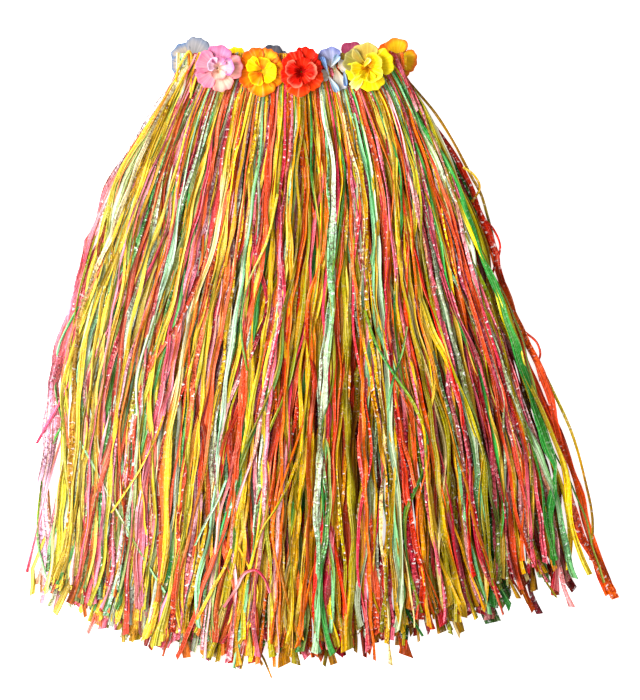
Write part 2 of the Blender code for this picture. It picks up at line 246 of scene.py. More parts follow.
def write_colours(mesh, name, colours):
    """A colour attribute, from red, green and blue for each point."""
    rgba = np.ones((len(mesh.vertices), 4))
    rgba[:, :3] = colours.reshape(-1, 3)
    layer = mesh.attributes.new(name, "FLOAT_COLOR", "POINT")
    layer.data.foreach_set("color", rgba.astype(np.float32).ravel())


def placed(name, data):
    """A new object in the scene."""
    obj = bpy.data.objects.new(name, data)
    bpy.context.scene.collection.objects.link(obj)
    return obj


# ---------------------------------------------------------------- ribbons of film
FILM = 0.35                   # thickness, with its folds pressed flat
EDGE_SLOTS = 6                # points round a ribbon
TABLE_GAP = 0.3               # least height of a ribbon's underside, mm
MAP_STEP = (20.0, 137.0)      # mm between neighbours on the film's own map, across and along
SHARP_EDGE = 60               # degrees, past which an edge is not shaded smooth


def swept_frame(paths):
    """Unit vectors along each path, level across it, and square to both, upwards."""
    along = np.gradient(paths, axis=1)
    along /= np.linalg.norm(along, axis=2, keepdims=True)
    side = np.stack((-along[..., 1], along[..., 0], np.zeros(along.shape[:2])), axis=2)
    side /= np.maximum(np.linalg.norm(side, axis=2, keepdims=True), 1e-6)
    return along, side, np.cross(along, side)


def ribbon_rings(paths, widths, rolls, folds, cuts, shares, side):
    """Points round each ribbon at each point of its path, in mm.

    Each ring has four points over the top, from edge to edge, with two soft folds between them, and
    two under it, one thickness down; it is turned by its roll about the path. The last ring leans
    along the path by the cut's slope, and a ring that would dip into the table is raised onto it."""
    along, level, up = swept_frame(paths)
    if side is not None:
        level = np.broadcast_to(side, level.shape)
        up = np.cross(along, level)
    turn = rolls[..., None]
    across = np.cos(turn) * level + np.sin(turn) * up
    out = -np.sin(turn) * level + np.cos(turn) * up
    first, second, lift_first, lift_second = (folds[:, i, None, None] for i in range(4))
    half = widths[..., None] / 2
    ring = np.stack((
        paths - across * half,
        paths + across * half * first + out * lift_first * half,
        paths + across * half * second + out * lift_second * half,
        paths + across * half,
        paths + across * half * second + out * (lift_second * half - FILM),
        paths + across * half * first + out * (lift_first * half - FILM),
    ), axis=2)
    ring[:, -1] += along[:, -1, None] * (shares * cuts[:, None] * widths[:, -1:] / 2)[..., None]
    ring[..., 2] += np.maximum(0.0, TABLE_GAP - ring[..., 2].min(axis=2, keepdims=True))
    return ring


def ribbon_faces(count, points):
    """Corner numbers of the walls between neighbouring rings and of two quads over each end."""
    base = (np.arange(count)[:, None, None] * points
            + np.arange(points - 1)[None, :, None]) * EDGE_SLOTS
    slot = np.arange(EDGE_SLOTS)[None, None, :]
    after = (slot + 1) % EDGE_SLOTS
    walls = np.stack((base + slot, base + EDGE_SLOTS + slot,
                      base + EDGE_SLOTS + after, base + after), axis=3).reshape(-1, 4)
    start = (np.arange(count) * points * EDGE_SLOTS)[:, None]
    end = start + (points - 1) * EDGE_SLOTS
    return np.concatenate((walls, start + (0, 1, 4, 5), start + (1, 2, 3, 4),
                           end + (5, 4, 1, 0), end + (4, 3, 2, 1)))


def film_map(paths, widths, shares):
    """The film's own map, in mm: x is the place across a ribbon and y the way along it, with each
    ribbon a step further on than the last, so that no two show the same marks."""
    count, points = paths.shape[:2]
    steps = np.linalg.norm(np.diff(paths, axis=1), axis=2)
    length = np.concatenate((np.zeros((count, 1)), np.cumsum(steps, axis=1)), axis=1)
    number = np.arange(count)[:, None, None]
    x = shares[:, None, :] * widths[..., None] / 2 + MAP_STEP[0] * number
    y = length[..., None] + MAP_STEP[1] * number
    whole = (count, points, EDGE_SLOTS)
    return np.stack((np.broadcast_to(x, whole), np.broadcast_to(y, whole)), axis=3).reshape(-1, 2)


def film_ribbons(name, paths, widths, rolls, folds, colours, crackle, cuts, side=None):
    """Closed, flattened tubes carried along paths, in mm from the waist's middle, with their colours,
    which for most ribbons hold painted light and shade besides the dyes, their crackle and the film's own
    map. side is the way across them, where it isn't level."""
    count, points = paths.shape[:2]
    ends = np.ones(count)
    shares = np.stack((-ends, folds[:, 0], folds[:, 1], ends, folds[:, 1], folds[:, 0]), axis=1)
    ring = ribbon_rings(paths, widths, rolls, folds, cuts, shares, side)
    quads = ribbon_faces(count, points)
    mesh = quad_mesh(name, ring.reshape(-1, 3) * MM + ON_TABLE, quads)
    write_map(mesh, "ribbon", film_map(paths, widths, shares)[quads.ravel()])
    write_map(mesh, "OFBake", strip_places(count, points))
    # these colours hold painted light and shade besides the dyes
    write_colours(mesh, "dye_and_painted_light", np.broadcast_to(colours, (count, points, EDGE_SLOTS, 3)))
    worn = mesh.attributes.new("crackle", "FLOAT", "POINT")
    worn.data.foreach_set("value", np.repeat(crackle, points * EDGE_SLOTS).astype(np.float32))
    mesh.set_sharp_from_angle(angle=math.radians(SHARP_EDGE))
    mesh.validate()
    mesh.materials.append(film_material())
    obj = placed(name, mesh)
    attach(obj, "root")
    return obj


STRIP_MARGIN = 0.06           # bare at each side of a ribbon's strip, as a share of its width
END_BAND = 0.02               # height of the band below the strips that holds the cut ends


def strip_places(count, points):
    """Bake places: each ribbon opened round its ring into an upright strip, side by side, with the
    cut ends as small squares along the bottom edge."""
    slot = np.arange(EDGE_SLOTS)[None, None, :]
    column = np.arange(count)[:, None, None]
    row = np.arange(points - 1)[None, :, None]
    inside = 1 - 2 * STRIP_MARGIN

    def u(place):
        """Across: within the ribbon's own column, at a share of the way round its ring."""
        return (column + STRIP_MARGIN + inside * place / EDGE_SLOTS) / count + 0.0 * row

    def v(place):
        """Upwards: at a share of the way along the ribbon, over the band of cut ends."""
        return END_BAND + (1.0 - END_BAND) * place / (points - 1) + 0.0 * slot + 0.0 * column

    walls = np.stack((u(slot), v(row), u(slot), v(row + 1),
                      u(slot + 1), v(row + 1), u(slot + 1), v(row)), axis=3).reshape(-1, 2)
    left = np.arange(count)[:, None] / count
    caps = []
    for quarter in range(4):
        low = left + (STRIP_MARGIN + quarter * inside / 4) / count
        high = low + 0.8 * inside / 4 / count
        lows, highs = np.full_like(low, 0.1 * END_BAND), np.full_like(low, 0.8 * END_BAND)
        caps.append(np.concatenate((low, lows, low, highs, high, highs, high, lows), axis=1))
    return np.concatenate((walls, np.concatenate(caps).reshape(-1, 2)))


# ---------------------------------------------------------------- materials
def new_material(name):
    """An empty node material, its node tree and its Principled shader."""
    made = bpy.data.materials.new(name)
    made.use_nodes = True
    return made, made.node_tree, made.node_tree.nodes["Principled BSDF"]


def wire(tree, source, target):
    """Joins an output to an input."""
    tree.links.new(source, target)


def math_node(tree, operation, first, second=None):
    """A Math node that is fed by sockets or numbers; returns its result."""
    node = tree.nodes.new("ShaderNodeMath")
    node.operation = operation
    for socket, value in zip(node.inputs, (first, second)):
        if isinstance(value, (int, float)):
            socket.default_value = value
        elif value is not None:
            wire(tree, value, socket)
    return node.outputs[0]


def times(tree, first, second):
    """The product of two values."""
    return math_node(tree, "MULTIPLY", first, second)


def plus(tree, first, second):
    """The sum of two values."""
    return math_node(tree, "ADD", first, second)


def map_place(tree, name):
    """The place on one of the mesh's own maps."""
    node = tree.nodes.new("ShaderNodeUVMap")
    node.uv_map = name
    return node.outputs["UV"]


def attribute(tree, name):
    """What a node that reads one of the mesh's own attributes puts out."""
    node = tree.nodes.new("ShaderNodeAttribute")
    node.attribute_name = name
    return node.outputs


def placed_group(tree, shared, place):
    """A shared node group that is fed with a place; returns the node."""
    node = tree.nodes.new("ShaderNodeGroup")
    node.node_tree = shared
    wire(tree, place, node.inputs["Place"])
    return node


def noise(tree, place, waves, detail=1.0, roughness=0.5):
    """Noise with so many waves to a unit of the place, across and along."""
    spread = tree.nodes.new("ShaderNodeMapping")
    spread.inputs["Scale"].default_value = (*waves, 1.0)
    wire(tree, place, spread.inputs["Vector"])
    node = tree.nodes.new("ShaderNodeTexNoise")
    for key, number in (("Scale", 1.0), ("Detail", detail), ("Roughness", roughness)):
        node.inputs[key].default_value = number
    wire(tree, spread.outputs["Vector"], node.inputs["Vector"])
    return node.outputs["Fac"]


def relief(tree, shader, height, strength, distance):
    """Low relief on a shader, from a height; distance is in metres."""
    node = tree.nodes.new("ShaderNodeBump")
    node.inputs["Strength"].default_value = strength
    node.inputs["Distance"].default_value = distance
    wire(tree, height, node.inputs["Height"])
    wire(tree, node.outputs["Normal"], shader.inputs["Normal"])


def mix(tree, share, first, second, blend="MIX"):
    """Colour mix; share, first and second are sockets, numbers or colours."""
    node = tree.nodes.new("ShaderNodeMix")
    node.data_type = "RGBA"
    node.blend_type = blend
    for key, value in (("Factor_Float", share), ("A_Color", first), ("B_Color", second)):
        socket = next(s for s in node.inputs if s.identifier == key)
        if isinstance(value, bpy.types.NodeSocket):
            wire(tree, value, socket)
        elif key == "Factor_Float":
            socket.default_value = value
        else:
            socket.default_value = (*value, 1.0)
    return next(s for s in node.outputs if s.identifier == "Result_Color")


def tinted(tree, colour, tint):
    """A colour times another colour or a value."""
    return mix(tree, 1.0, colour, tint, "MULTIPLY")


def ramp(tree, value, low, high, out_low=0.0, out_high=1.0):
    """Smooth step of a value between two limits."""
    node = tree.nodes.new("ShaderNodeMapRange")
    node.interpolation_type = "SMOOTHSTEP"
    for key, number in (("From Min", low), ("From Max", high), ("To Min", out_low),
                        ("To Max", out_high)):
        node.inputs[key].default_value = number
    wire(tree, value, node.inputs["Value"])
    return node.outputs["Result"]


def group(name, inputs, outputs):
    """A shader node group with its sockets; returns its tree, inputs and outputs."""
    tree = bpy.data.node_groups.new(name, "ShaderNodeTree")
    for label, kind in inputs:
        tree.interface.new_socket(label, in_out="INPUT", socket_type=kind)
    for label, kind in outputs:
        tree.interface.new_socket(label, in_out="OUTPUT", socket_type=kind)
    return tree, tree.nodes.new("NodeGroupInput").outputs, tree.nodes.new("NodeGroupOutput").inputs


FOLDS = (0.30, 0.0055)        # waves to a mm across the film and along it: long folds,
STREAKS = (0.65, 0.012)       # fine streaks,
CREASES = (0.15, 0.20)        # creases across it,
BLOTCHES = (0.24, 0.20)       # worn blotches,
PATCHES = (0.02, 0.014)       # and the patches that are worn


@cache
def film_grain_group():
    """Drawn film: long folds and fine streaks along it, creases across it, and worn marks and the masks
    of painted glints in patches of crackled film. Height = creases (0.62 + 1.3 wear) + folds + 0.4
    streaks.

    Place is the ribbon's own map in mm: x across it, y along it."""
    tree, given, found = group(
        "film grain",
        (("Place", "NodeSocketVector"), ("Crackle", "NodeSocketFloat")),
        (("Fold", "NodeSocketFloat"), ("Streak", "NodeSocketFloat"), ("Mark", "NodeSocketFloat"),
         ("Painted glint", "NodeSocketFloat"), ("Height", "NodeSocketFloat")))
    fold = noise(tree, given["Place"], FOLDS, 2.0, 0.55)
    streak = noise(tree, given["Place"], STREAKS)
    crease = noise(tree, given["Place"], CREASES, 2.0, 0.55)
    blotch = noise(tree, given["Place"], BLOTCHES, 3.0, 0.7)
    patch = noise(tree, given["Place"], PATCHES)
    # patches of crackled film, which hold the worn marks and the painted glints
    wear_and_glint = times(tree, given["Crackle"], ramp(tree, patch, 0.36, 0.54))
    mark = times(tree, ramp(tree, blotch, 0.51, 0.57), wear_and_glint)
    # painted glint: where a crease in a crackled patch would catch the light
    painted_glint = times(tree, ramp(tree, crease, 0.59, 0.66), wear_and_glint)
    depth = plus(tree, times(tree, wear_and_glint, 1.3), 0.62)
    lines = plus(tree, fold, times(tree, streak, 0.40))
    height = plus(tree, times(tree, crease, depth), lines)
    for name, value in (("Fold", fold), ("Streak", streak), ("Mark", mark), ("Painted glint", painted_glint),
                        ("Height", height)):
        wire(tree, value, found[name])
    return tree


FOLD_SHADE = (0.58, 0.53, 0.22)     # painted shade: share of the colour's light kept where a fold is in shade
CREST_LIGHT = (1.36, 1.33, 1.36)    # painted light: and on its lit crest
STREAK_SHADE_AND_LIGHT = (0.64, 1.10)         # painted shade in the darkest streaks and painted light on the palest
SHINE = (1.0, 0.92, 0.58)         # painted sheen: warm shine on the palest streaks
SHINE_SHARE = 0.11
MARK_DYE = (0.28, 0.05, 0.07)     # of the dye's light, in a worn mark
MARK_SHARE = 0.9
PAINTED_GLINT = (0.95, 0.93, 0.93)        # painted glint: near white on the lit creases of crackled film
PAINTED_GLINT_SHARE = 0.70
FILM_ROUGHNESS = (0.10, 0.22)
FILM_GLOSS = 0.10


@cache
def film_material():
    """Glossy dyed film: the ribbon's drifting dyes with dark worn marks, painted shade in its folds and
    streaks, painted light on their crests, a painted sheen and painted glints on its crackled creases.
    """
    made, tree, shader = new_material("dyed film")
    # the colour attribute: dyes with painted light and shade
    dye_and_painted_light = attribute(tree, "dye_and_painted_light")["Color"]
    grain = placed_group(tree, film_grain_group(), map_place(tree, "ribbon"))
    wire(tree, attribute(tree, "crackle")["Fac"], grain.inputs["Crackle"])
    fold, streak = grain.outputs["Fold"], grain.outputs["Streak"]
    # painted shade in the folds and darker streaks, painted light on the crests and palest streaks, a
    # painted sheen, worn marks and painted glints
    folded = mix(tree, ramp(tree, fold, 0.34, 0.56), tinted(tree, dye_and_painted_light, FOLD_SHADE), dye_and_painted_light)
    lined = tinted(tree, folded, ramp(tree, streak, 0.36, 0.60, *STREAK_SHADE_AND_LIGHT))
    raised = mix(tree, ramp(tree, fold, 0.54, 0.68), lined, tinted(tree, dye_and_painted_light, CREST_LIGHT))
    shiny = mix(tree, ramp(tree, streak, 0.58, 0.66, 0.0, SHINE_SHARE), raised, SHINE)
    worn = times(tree, grain.outputs["Mark"], MARK_SHARE)
    marked = mix(tree, worn, shiny, tinted(tree, dye_and_painted_light, MARK_DYE))
    # painted glints, near white, over the marked colour
    painted_glint = times(tree, grain.outputs["Painted glint"], PAINTED_GLINT_SHARE)
    wire(tree, mix(tree, painted_glint, marked, PAINTED_GLINT), shader.inputs["Base Color"])
    wire(tree, ramp(tree, streak, 0.3, 0.7, *FILM_ROUGHNESS), shader.inputs["Roughness"])
    shader.inputs["Specular IOR Level"].default_value = FILM_GLOSS
    relief(tree, shader, grain.outputs["Height"], strength=0.9, distance=0.0045)
    return made


# ---------------------------------------------------------------- the fringe
class Leg(NamedTuple):
    """One leg of the folded ribbons, from the lowest up."""
    name: str
    node: str                 # the solid that it stands for
    per_lock: int             # ribbons in a lock
    points: int               # along a ribbon
    width: float              # of a ribbon, mm


LEGS = (
    Leg("ribbons_under", "fringe_back", 2, 60, 7.0),
    Leg("ribbons_lower", "fringe_back", 2, 60, 7.0),
    Leg("ribbons_upper", "fringe_front", 3, 84, 6.0),
    Leg("ribbons_over", "fringe_front", 5, 88, 4.6),
)
ROW_SEED = 900

# how the ribbons lie and how wide they are
WIDTH_KNOTS = (8.0, 50.0, 140.0, 300.0, 840.0)
WIDTH_SHARES = (0.58, 0.60, 0.82, 1.0, 1.08)
PART_SHIFT = 0.4              # how unevenly a lock is parted into its ribbons
PART_REACH = 0.92             # how much of the lock's own width they spread over
TIP_RAISED, TIP_RAGGED = -9.0, 9.0          # mm, the ribbons' ends against their lock's end
STRAY_KNOTS = np.array((8.0, 70.0, 150.0, 240.0, 330.0, 420.0, 510.0, 600.0, 700.0, 840.0))
STRAY_STEP = np.array((0.0, 1.6, 3.2, 4.2, 4.6, 4.8, 5.4, 6.0, 6.6, 7.0))
SHARED_STRAY, OWN_STRAY = 0.7, 0.75         # steps that a lock's ribbons share, and their own
WANDERER_SHARE = 0.20         # of the ribbons stray much further than the rest
WANDERER = 2.2
SHORT_WAVES = (0.8, 50.0, 110.0)            # mm: size, shortest and longest
LONG_WAVES = (3.6, 240.0, 480.0)
LEVEL_WAVES = (0.5, 45.0, 110.0)
WAVES_GROW = (8.0, 150.0)     # mm below the waist, from nothing to their whole size
TURN_BACK = 1.7               # past the fan's edge, as a share of how far a ribbon strays out
OVER_LOCK = 0.8               # mm over the underside of the row, at the least
ROOM_SHARE = 0.9              # of the room up to the row two above
LOWEST = 1.6                  # mm over the table
TWIST_KNOTS = np.arange(0.0, 880.0, 32.0)   # places where roll and width change
TWIST_LIMIT = 40.0            # degrees of roll
TWIST_WHOLE, TWIST_LOCAL = 10.0, 28.0       # spread of a ribbon's own roll, and of that at each knot
LOOSE_END = 70.0              # the last part of a ribbon, which splays and opens out
SPLAY = 7.0                   # mm
OPENED = 0.6                  # of its width, at the most
CUT_SLOPE = 0.45              # spread of the slope of the cut ends

# the mass's edges and the ribbons that lie free of them
FREE_FROM = 0.84              # of the fan's half width: past it are the outermost ribbons,
FREE_SHARE = 0.22             # and this share of them lies free of the mass
FREE_LONGER = 20.0            # those at the right reach this much lower
FREE_LIGHT = 1.8              # and painted light brightens them, as from the white table below
GAP_GROWS = 0.14              # of the fan's half width, over which an edge gap opens
RIGHT_GAP = 38.0              # mm between the fan's right edge and the mass, near the hem
RIGHT_GAP_FROM = 0.78
RIGHT_GAP_KNOTS = (20.0, 90.0, 250.0, 380.0, 470.0, 560.0, 700.0)
RIGHT_GAP_SHARES = (0.0, 0.28, 0.28, 0.6, 0.85, 1.0, 1.2)
LEFT_GAP = 10.0
LEFT_GAP_FROM = 0.80
LEFT_GAP_KNOTS = (20.0, 100.0, 340.0, 440.0, 700.0)
LEFT_GAP_SHARES = (0.0, 0.8, 1.0, 0.6, 0.6)

# the light and shade painted into each ribbon's colours, and its dye
TOP_ROW = 7
COVERED_ROWS = 4              # the lowest ones, which show only as gaps
COVER_EDGE = 0.12             # of the fan's half width, over which the cover grows from nothing
COVER_MIDDLE, COVER_RIGHT = 0.66, 0.34      # in the middle, and what is added to the right
COVER_FALL = 0.75             # power of its fall from the lowest row to the top one
WAIST_COVER = 0.55            # more cover at the waist,
WAIST_REACH = 240.0           # down to here
END_LIGHT = 0.6               # share of the cover that the cut ends are free of
FILTER = np.array((0.24, 0.68, 0.74))       # painted shade: red, green and blue that full cover keeps back
FILTER_RIGHT = (0.46, 0.24, 0.16)           # added to it towards the right,
FILTER_LEFT = (0.0, 0.18, 0.20)             # and taken off towards the left
LIT_LEFT, LIT_RIGHT = 0.2, -0.3             # places across where the lit sides begin
LET_THROUGH = 1.2             # more light on the covered rows at the left,
LET_FROM = 0.2                # below this share of the way down from the top row
TOP_LIT = 0.22                # and on the top rows at the right
MIDDLE_ROW = 3
SHADE_LEFT, SHADE_RIGHT = 0.05, 0.34        # how unevenly whole ribbons are lit, at both sides
LIGHT_SEED = 700
DYE_LIMIT = 0.78              # no film is paler than this
WIDER = 0.45                  # how much wider the ranges of crackled film run
PLAIN_CRACKLE = 0.12          # crackle of the ribbons that aren't crackled
GOLDEN = 0.618034             # steps the ribbons' heights so that neighbours lie apart


def lock_draws(leg):
    """The solids' own random numbers for a leg's locks: wander at each section, then the tip."""
    rng = np.random.default_rng(SEED + 2 * (leg // 2))
    draws = rng.uniform(-1.0, 1.0, (2, LOCKS_PER_LEG, len(SECTIONS) + 3))[leg % 2]
    return draws[:, :len(SECTIONS)], draws[:, -1]


def pick_ranges(rng, across, covered=0.0):
    """A range for each ribbon. Its chances change evenly from the fan's left edge to its middle and
    on to its right edge, and cool ranges are rarer in the covered rows, which show as warm gaps."""
    shares = np.stack([np.interp(across, (-1.0, 0.0, 1.0), (choice.left, choice.middle, choice.right))
                       for choice in RANGES], axis=1)
    shares = shares * (1.0 - covered * np.array([choice.cool for choice in RANGES]))
    shares = shares / shares.sum(axis=1, keepdims=True)
    return (rng.uniform(0, 1, (len(across), 1)) > np.cumsum(shares, axis=1)).sum(axis=1)


def cover(row, across):
    """How much of a row is hidden by those above it, the share of its painted shade: none at the fan's
    edges, and more towards the right, away from the light."""
    return (np.clip((1.0 - np.abs(across)) / COVER_EDGE, 0.0, 1.0)
            * ((TOP_ROW - row) / TOP_ROW) ** COVER_FALL * (COVER_MIDDLE + COVER_RIGHT * across))


def hold_in(x, left, right):
    """Turns back what strays past the fan's edges."""
    return x - TURN_BACK * np.maximum(0.0, x - right) + TURN_BACK * np.maximum(0.0, left - x)


def edge_gaps(own, below):
    """How far the outer ribbons, but for the free ones, stay in from the fan's two edges, in mm."""
    right = np.clip((own - RIGHT_GAP_FROM) / GAP_GROWS, 0.0, 1.0)[:, None]
    left = np.clip((-own - LEFT_GAP_FROM) / GAP_GROWS, 0.0, 1.0)[:, None]
    return (LEFT_GAP * left * np.interp(below, LEFT_GAP_KNOTS, LEFT_GAP_SHARES)
            - RIGHT_GAP * right * np.interp(below, RIGHT_GAP_KNOTS, RIGHT_GAP_SHARES))


def parted_locks(rng, leg, parity, tip_draw):
    """The ribbons of every other lock of a leg: the lock of each, its place across the fan, its
    depth at the cut end, and whether it lies free of the mass."""
    lock = np.repeat(np.arange(parity, LOCKS_PER_LEG, 2), leg.per_lock)
    part = np.tile(np.arange(leg.per_lock), len(lock) // leg.per_lock)
    count = len(lock)
    pitch = 2.0 / (LOCKS_PER_LEG - 1)
    shift = rng.uniform(-PART_SHIFT, PART_SHIFT, count)
    spread = (part - (leg.per_lock - 1) / 2 + shift) / leg.per_lock
    across = -1.0 + pitch * lock
    own = np.clip(across + 2.0 * pitch * PART_REACH * spread, -1.0, 1.0)
    tip = (np.interp(across, HEM_ACROSS, HEM_BELOW) + TIP_SPREAD * tip_draw[lock]
           + rng.normal(TIP_RAISED, TIP_RAGGED, count))
    free = (np.abs(own) > FREE_FROM) & (rng.uniform(0, 1, count) < FREE_SHARE)
    return lock, own, tip + FREE_LONGER * free * (own > 0.0), free


def ribbon_x(rng, leg_index, row, own, free, below, sway, last):
    """Place across the table, in mm: the fan's own place and sway, a random walk that a lock's
    ribbons partly share, and a short and a long sine. Then the fan's edges turn it back, the outer
    ribbons are drawn in, and the last part splays."""
    count, per_lock = len(own), LEGS[leg_index].per_lock
    far = np.where(rng.uniform(0, 1, count) < WANDERER_SHARE, WANDERER, 1.0)
    shared = rng.normal(0.0, SHARED_STRAY, (count // per_lock, len(STRAY_KNOTS)))
    shared = np.repeat(shared, per_lock, axis=0)
    walk = np.cumsum((shared + rng.normal(0.0, OWN_STRAY, shared.shape)) * STRAY_STEP, axis=1)
    x = fan_x(leg_index, row, own[:, None], below, sway)
    x = x + smooth_read(STRAY_KNOTS, walk * far[:, None], below)
    grown = np.interp(below, WAVES_GROW, (0.0, 1.0))
    x = x + (waves(rng, below, *SHORT_WAVES) + waves(rng, below, *LONG_WAVES)) * grown
    x = hold_in(x, fan("left", below), fan("right", below))
    x = x + np.where(free[:, None], 0.0, edge_gaps(own, below))
    return x + last * rng.normal(0.0, SPLAY, (count, 1))


def ribbon_z(rng, row, x, below):
    """Height over the table, in mm: the row's underside, a golden step through the room up to the
    row two above, and a short sine."""
    level = ((np.arange(len(x)) * GOLDEN) % 1.0)[:, None]
    room = (fan_z(row + 2, x, below) - fan_z(row, x, below)) / 2
    z = fan_z(row, x, below) + OVER_LOCK + ROOM_SHARE * room * level
    return np.maximum(z + waves(rng, below, *LEVEL_WAVES), LOWEST)


def uneven(rng, shape, spread, least, most):
    """Random factors about one, from a bell curve of their logarithms, held between two limits."""
    return np.exp(rng.normal(-0.06, spread, shape)).clip(least, most)


def ribbon_widths(rng, leg, below, last):
    """Width in mm: each ribbon's own, gathered at the waist, uneven along it and opened at its end."""
    count = len(below)
    swell = uneven(rng, (count, len(TWIST_KNOTS)), 0.22, 0.45, 1.25)
    width = leg.width * uneven(rng, (count, 1), 0.36, 0.42, 2.1)
    width = width * np.interp(below, WIDTH_KNOTS, WIDTH_SHARES) * smooth_read(TWIST_KNOTS, swell, below)
    return width * (1.0 + last * rng.uniform(0.0, OPENED, (count, 1)))


def ribbon_rolls(rng, below):
    """Roll about the path, in radians: each ribbon's own and a change at each knot."""
    count = len(below)
    tilt = (rng.normal(0.0, TWIST_WHOLE, (count, 1))
            + rng.normal(0.0, TWIST_LOCAL, (count, len(TWIST_KNOTS))))
    return np.radians(np.clip(smooth_read(TWIST_KNOTS, tilt, below), -TWIST_LIMIT, TWIST_LIMIT))


def fringe_row(leg_index, parity):
    """Ribbons of every other lock of a leg: each lock parts into ribbons that keep beside it, stray
    a little further at each depth, and end near the lock's cut end."""
    leg = LEGS[leg_index]
    row = 2 * leg_index + parity
    rng = np.random.default_rng(ROW_SEED + row)
    wander, tip_draw = lock_draws(leg_index)
    lock, own, tip, free = parted_locks(rng, leg, parity, tip_draw)
    t = np.linspace(0.0, 1.0, leg.points)[None, :]
    below = HEAD_DROP + (tip[:, None] - HEAD_DROP) * t
    last = np.clip((below - (tip[:, None] - LOOSE_END)) / LOOSE_END, 0.0, 1.0) ** 2
    sway = smooth_read(SECTIONS[:, 0], wander[lock], below)
    x = ribbon_x(rng, leg_index, row, own, free, below, sway, last)
    paths = np.stack((x, -below, ribbon_z(rng, row, x, below)), axis=2)
    widths = ribbon_widths(rng, leg, below, last)
    rolls = ribbon_rolls(rng, below)
    ranges = pick_ranges(rng, own, float(row < COVERED_ROWS))
    widths = widths * (1.0 + WIDER * crackled_share(ranges))[:, None]
    # painted light and shade in the colours: under cover, ribbon by ribbon, and on the free ribbons at
    # the right
    light = under_films(row, own, below, tip) * turned_away(row, own)
    light = light * np.where(free & (own > 0.0), FREE_LIGHT, 1.0)[:, None, None]
    colours = np.minimum(drift(rng, ranges, below, tip, x, below) * light, DYE_LIMIT)
    obj = film_ribbons(f"{leg.name}_{'ab'[parity]}", paths, widths, rolls,
                       ribbon_folds(rng, len(lock)), two_tones(rng, colours),
                       crackles(rng, ranges), cuts=rng.normal(0.0, CUT_SLOPE, len(lock)))
    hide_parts(leg.node)


def waves(rng, below, size, short, long):
    """A sine along each ribbon, of its own length and start."""
    count = len(below)
    return size * np.sin(TURN * below / rng.uniform(short, long, count)[:, None]
                         + rng.uniform(0, TURN, count)[:, None])


def under_films(row, across, below, tip):
    """Painted light and shade, as from light that has come through the dyed film above: warm and deep,
    most of all near the waist, and plentiful at the lit left side and near the cut ends.

    Light = (1 - cover x filter) x lit, with the filter changing from side to side."""
    near_waist = np.clip(1.0 - below / WAIST_REACH, 0.0, 1.0)
    near_end = np.clip(1.0 - (tip[:, None] - below) / LOOSE_END, 0.0, 1.0)
    share = cover(row, across)[:, None] * (1.0 + WAIST_COVER * near_waist)
    share = share * (1.0 - END_LIGHT * near_end)
    at_left = np.clip(LIT_LEFT - across, 0.0, 1.0)
    at_right = np.clip(across - LIT_RIGHT, 0.0, 1.0)
    lit = (1.0 + LET_THROUGH * ((TOP_ROW - row) / TOP_ROW - LET_FROM) * at_left
           + TOP_LIT * (row - MIDDLE_ROW) / (TOP_ROW - MIDDLE_ROW) * at_right)
    across = across[:, None, None]
    kept = FILTER + np.maximum(across, 0.0) * FILTER_RIGHT + np.minimum(across, 0.0) * FILTER_LEFT
    return (1.0 - share[..., None] * kept) * lit[:, None, None]


def turned_away(row, across):
    """One share of painted light for each whole ribbon, more uneven on the side that lies away from the
    light, where some ribbons face it and some don't."""
    spread = SHADE_LEFT + (SHADE_RIGHT - SHADE_LEFT) * (across + 1) / 2
    draw = np.random.default_rng(LIGHT_SEED + row).uniform(-1.0, 1.0, len(across))
    return (1.0 + spread * draw)[:, None, None]


def ribbon_folds(rng, count):
    """Two folds in each ribbon: their places, one on each side of its middle, and their rise, as
    shares of half its width."""
    return np.stack((rng.uniform(-0.65, -0.15, count), rng.uniform(0.15, 0.65, count),
                     rng.normal(0.08, 0.24, count), rng.normal(0.08, 0.24, count)), axis=1)


def crackled_share(ranges):
    """The share of crackled ribbons in each ribbon's range."""
    return np.array([choice.crackled for choice in RANGES])[ranges]


def crackles(rng, ranges):
    """How crackled each ribbon is, 0 to 1."""
    count = len(ranges)
    crackled = rng.uniform(0, 1, count) < crackled_share(ranges)
    return np.where(crackled, rng.uniform(0.7, 1.0, count), PLAIN_CRACKLE)


# ---------------------------------------------------------------- folded heads over the elastic
LEG_RISE = fan("rise", HEAD_DROP)
LEG_STEP = fan("leg_mid", HEAD_DROP)
LEG_WALL = 1.8
HEAD_HALF = 151.0             # the heads run out to here, both ways from the middle
HEAD_EDGE = 2.5               # and the outermost stands in by this
HEAD_TOP = 6.3                # they turn over the elastic this far above the waist line
HEAD_TAIL = 6.0               # and run on under the legs for this long
HEAD_SEED = 700
HEADS = 70
HEAD_POINTS = 22
HEAD_STRETCH = 8.0            # the dyes change this much faster along a head than along a leg


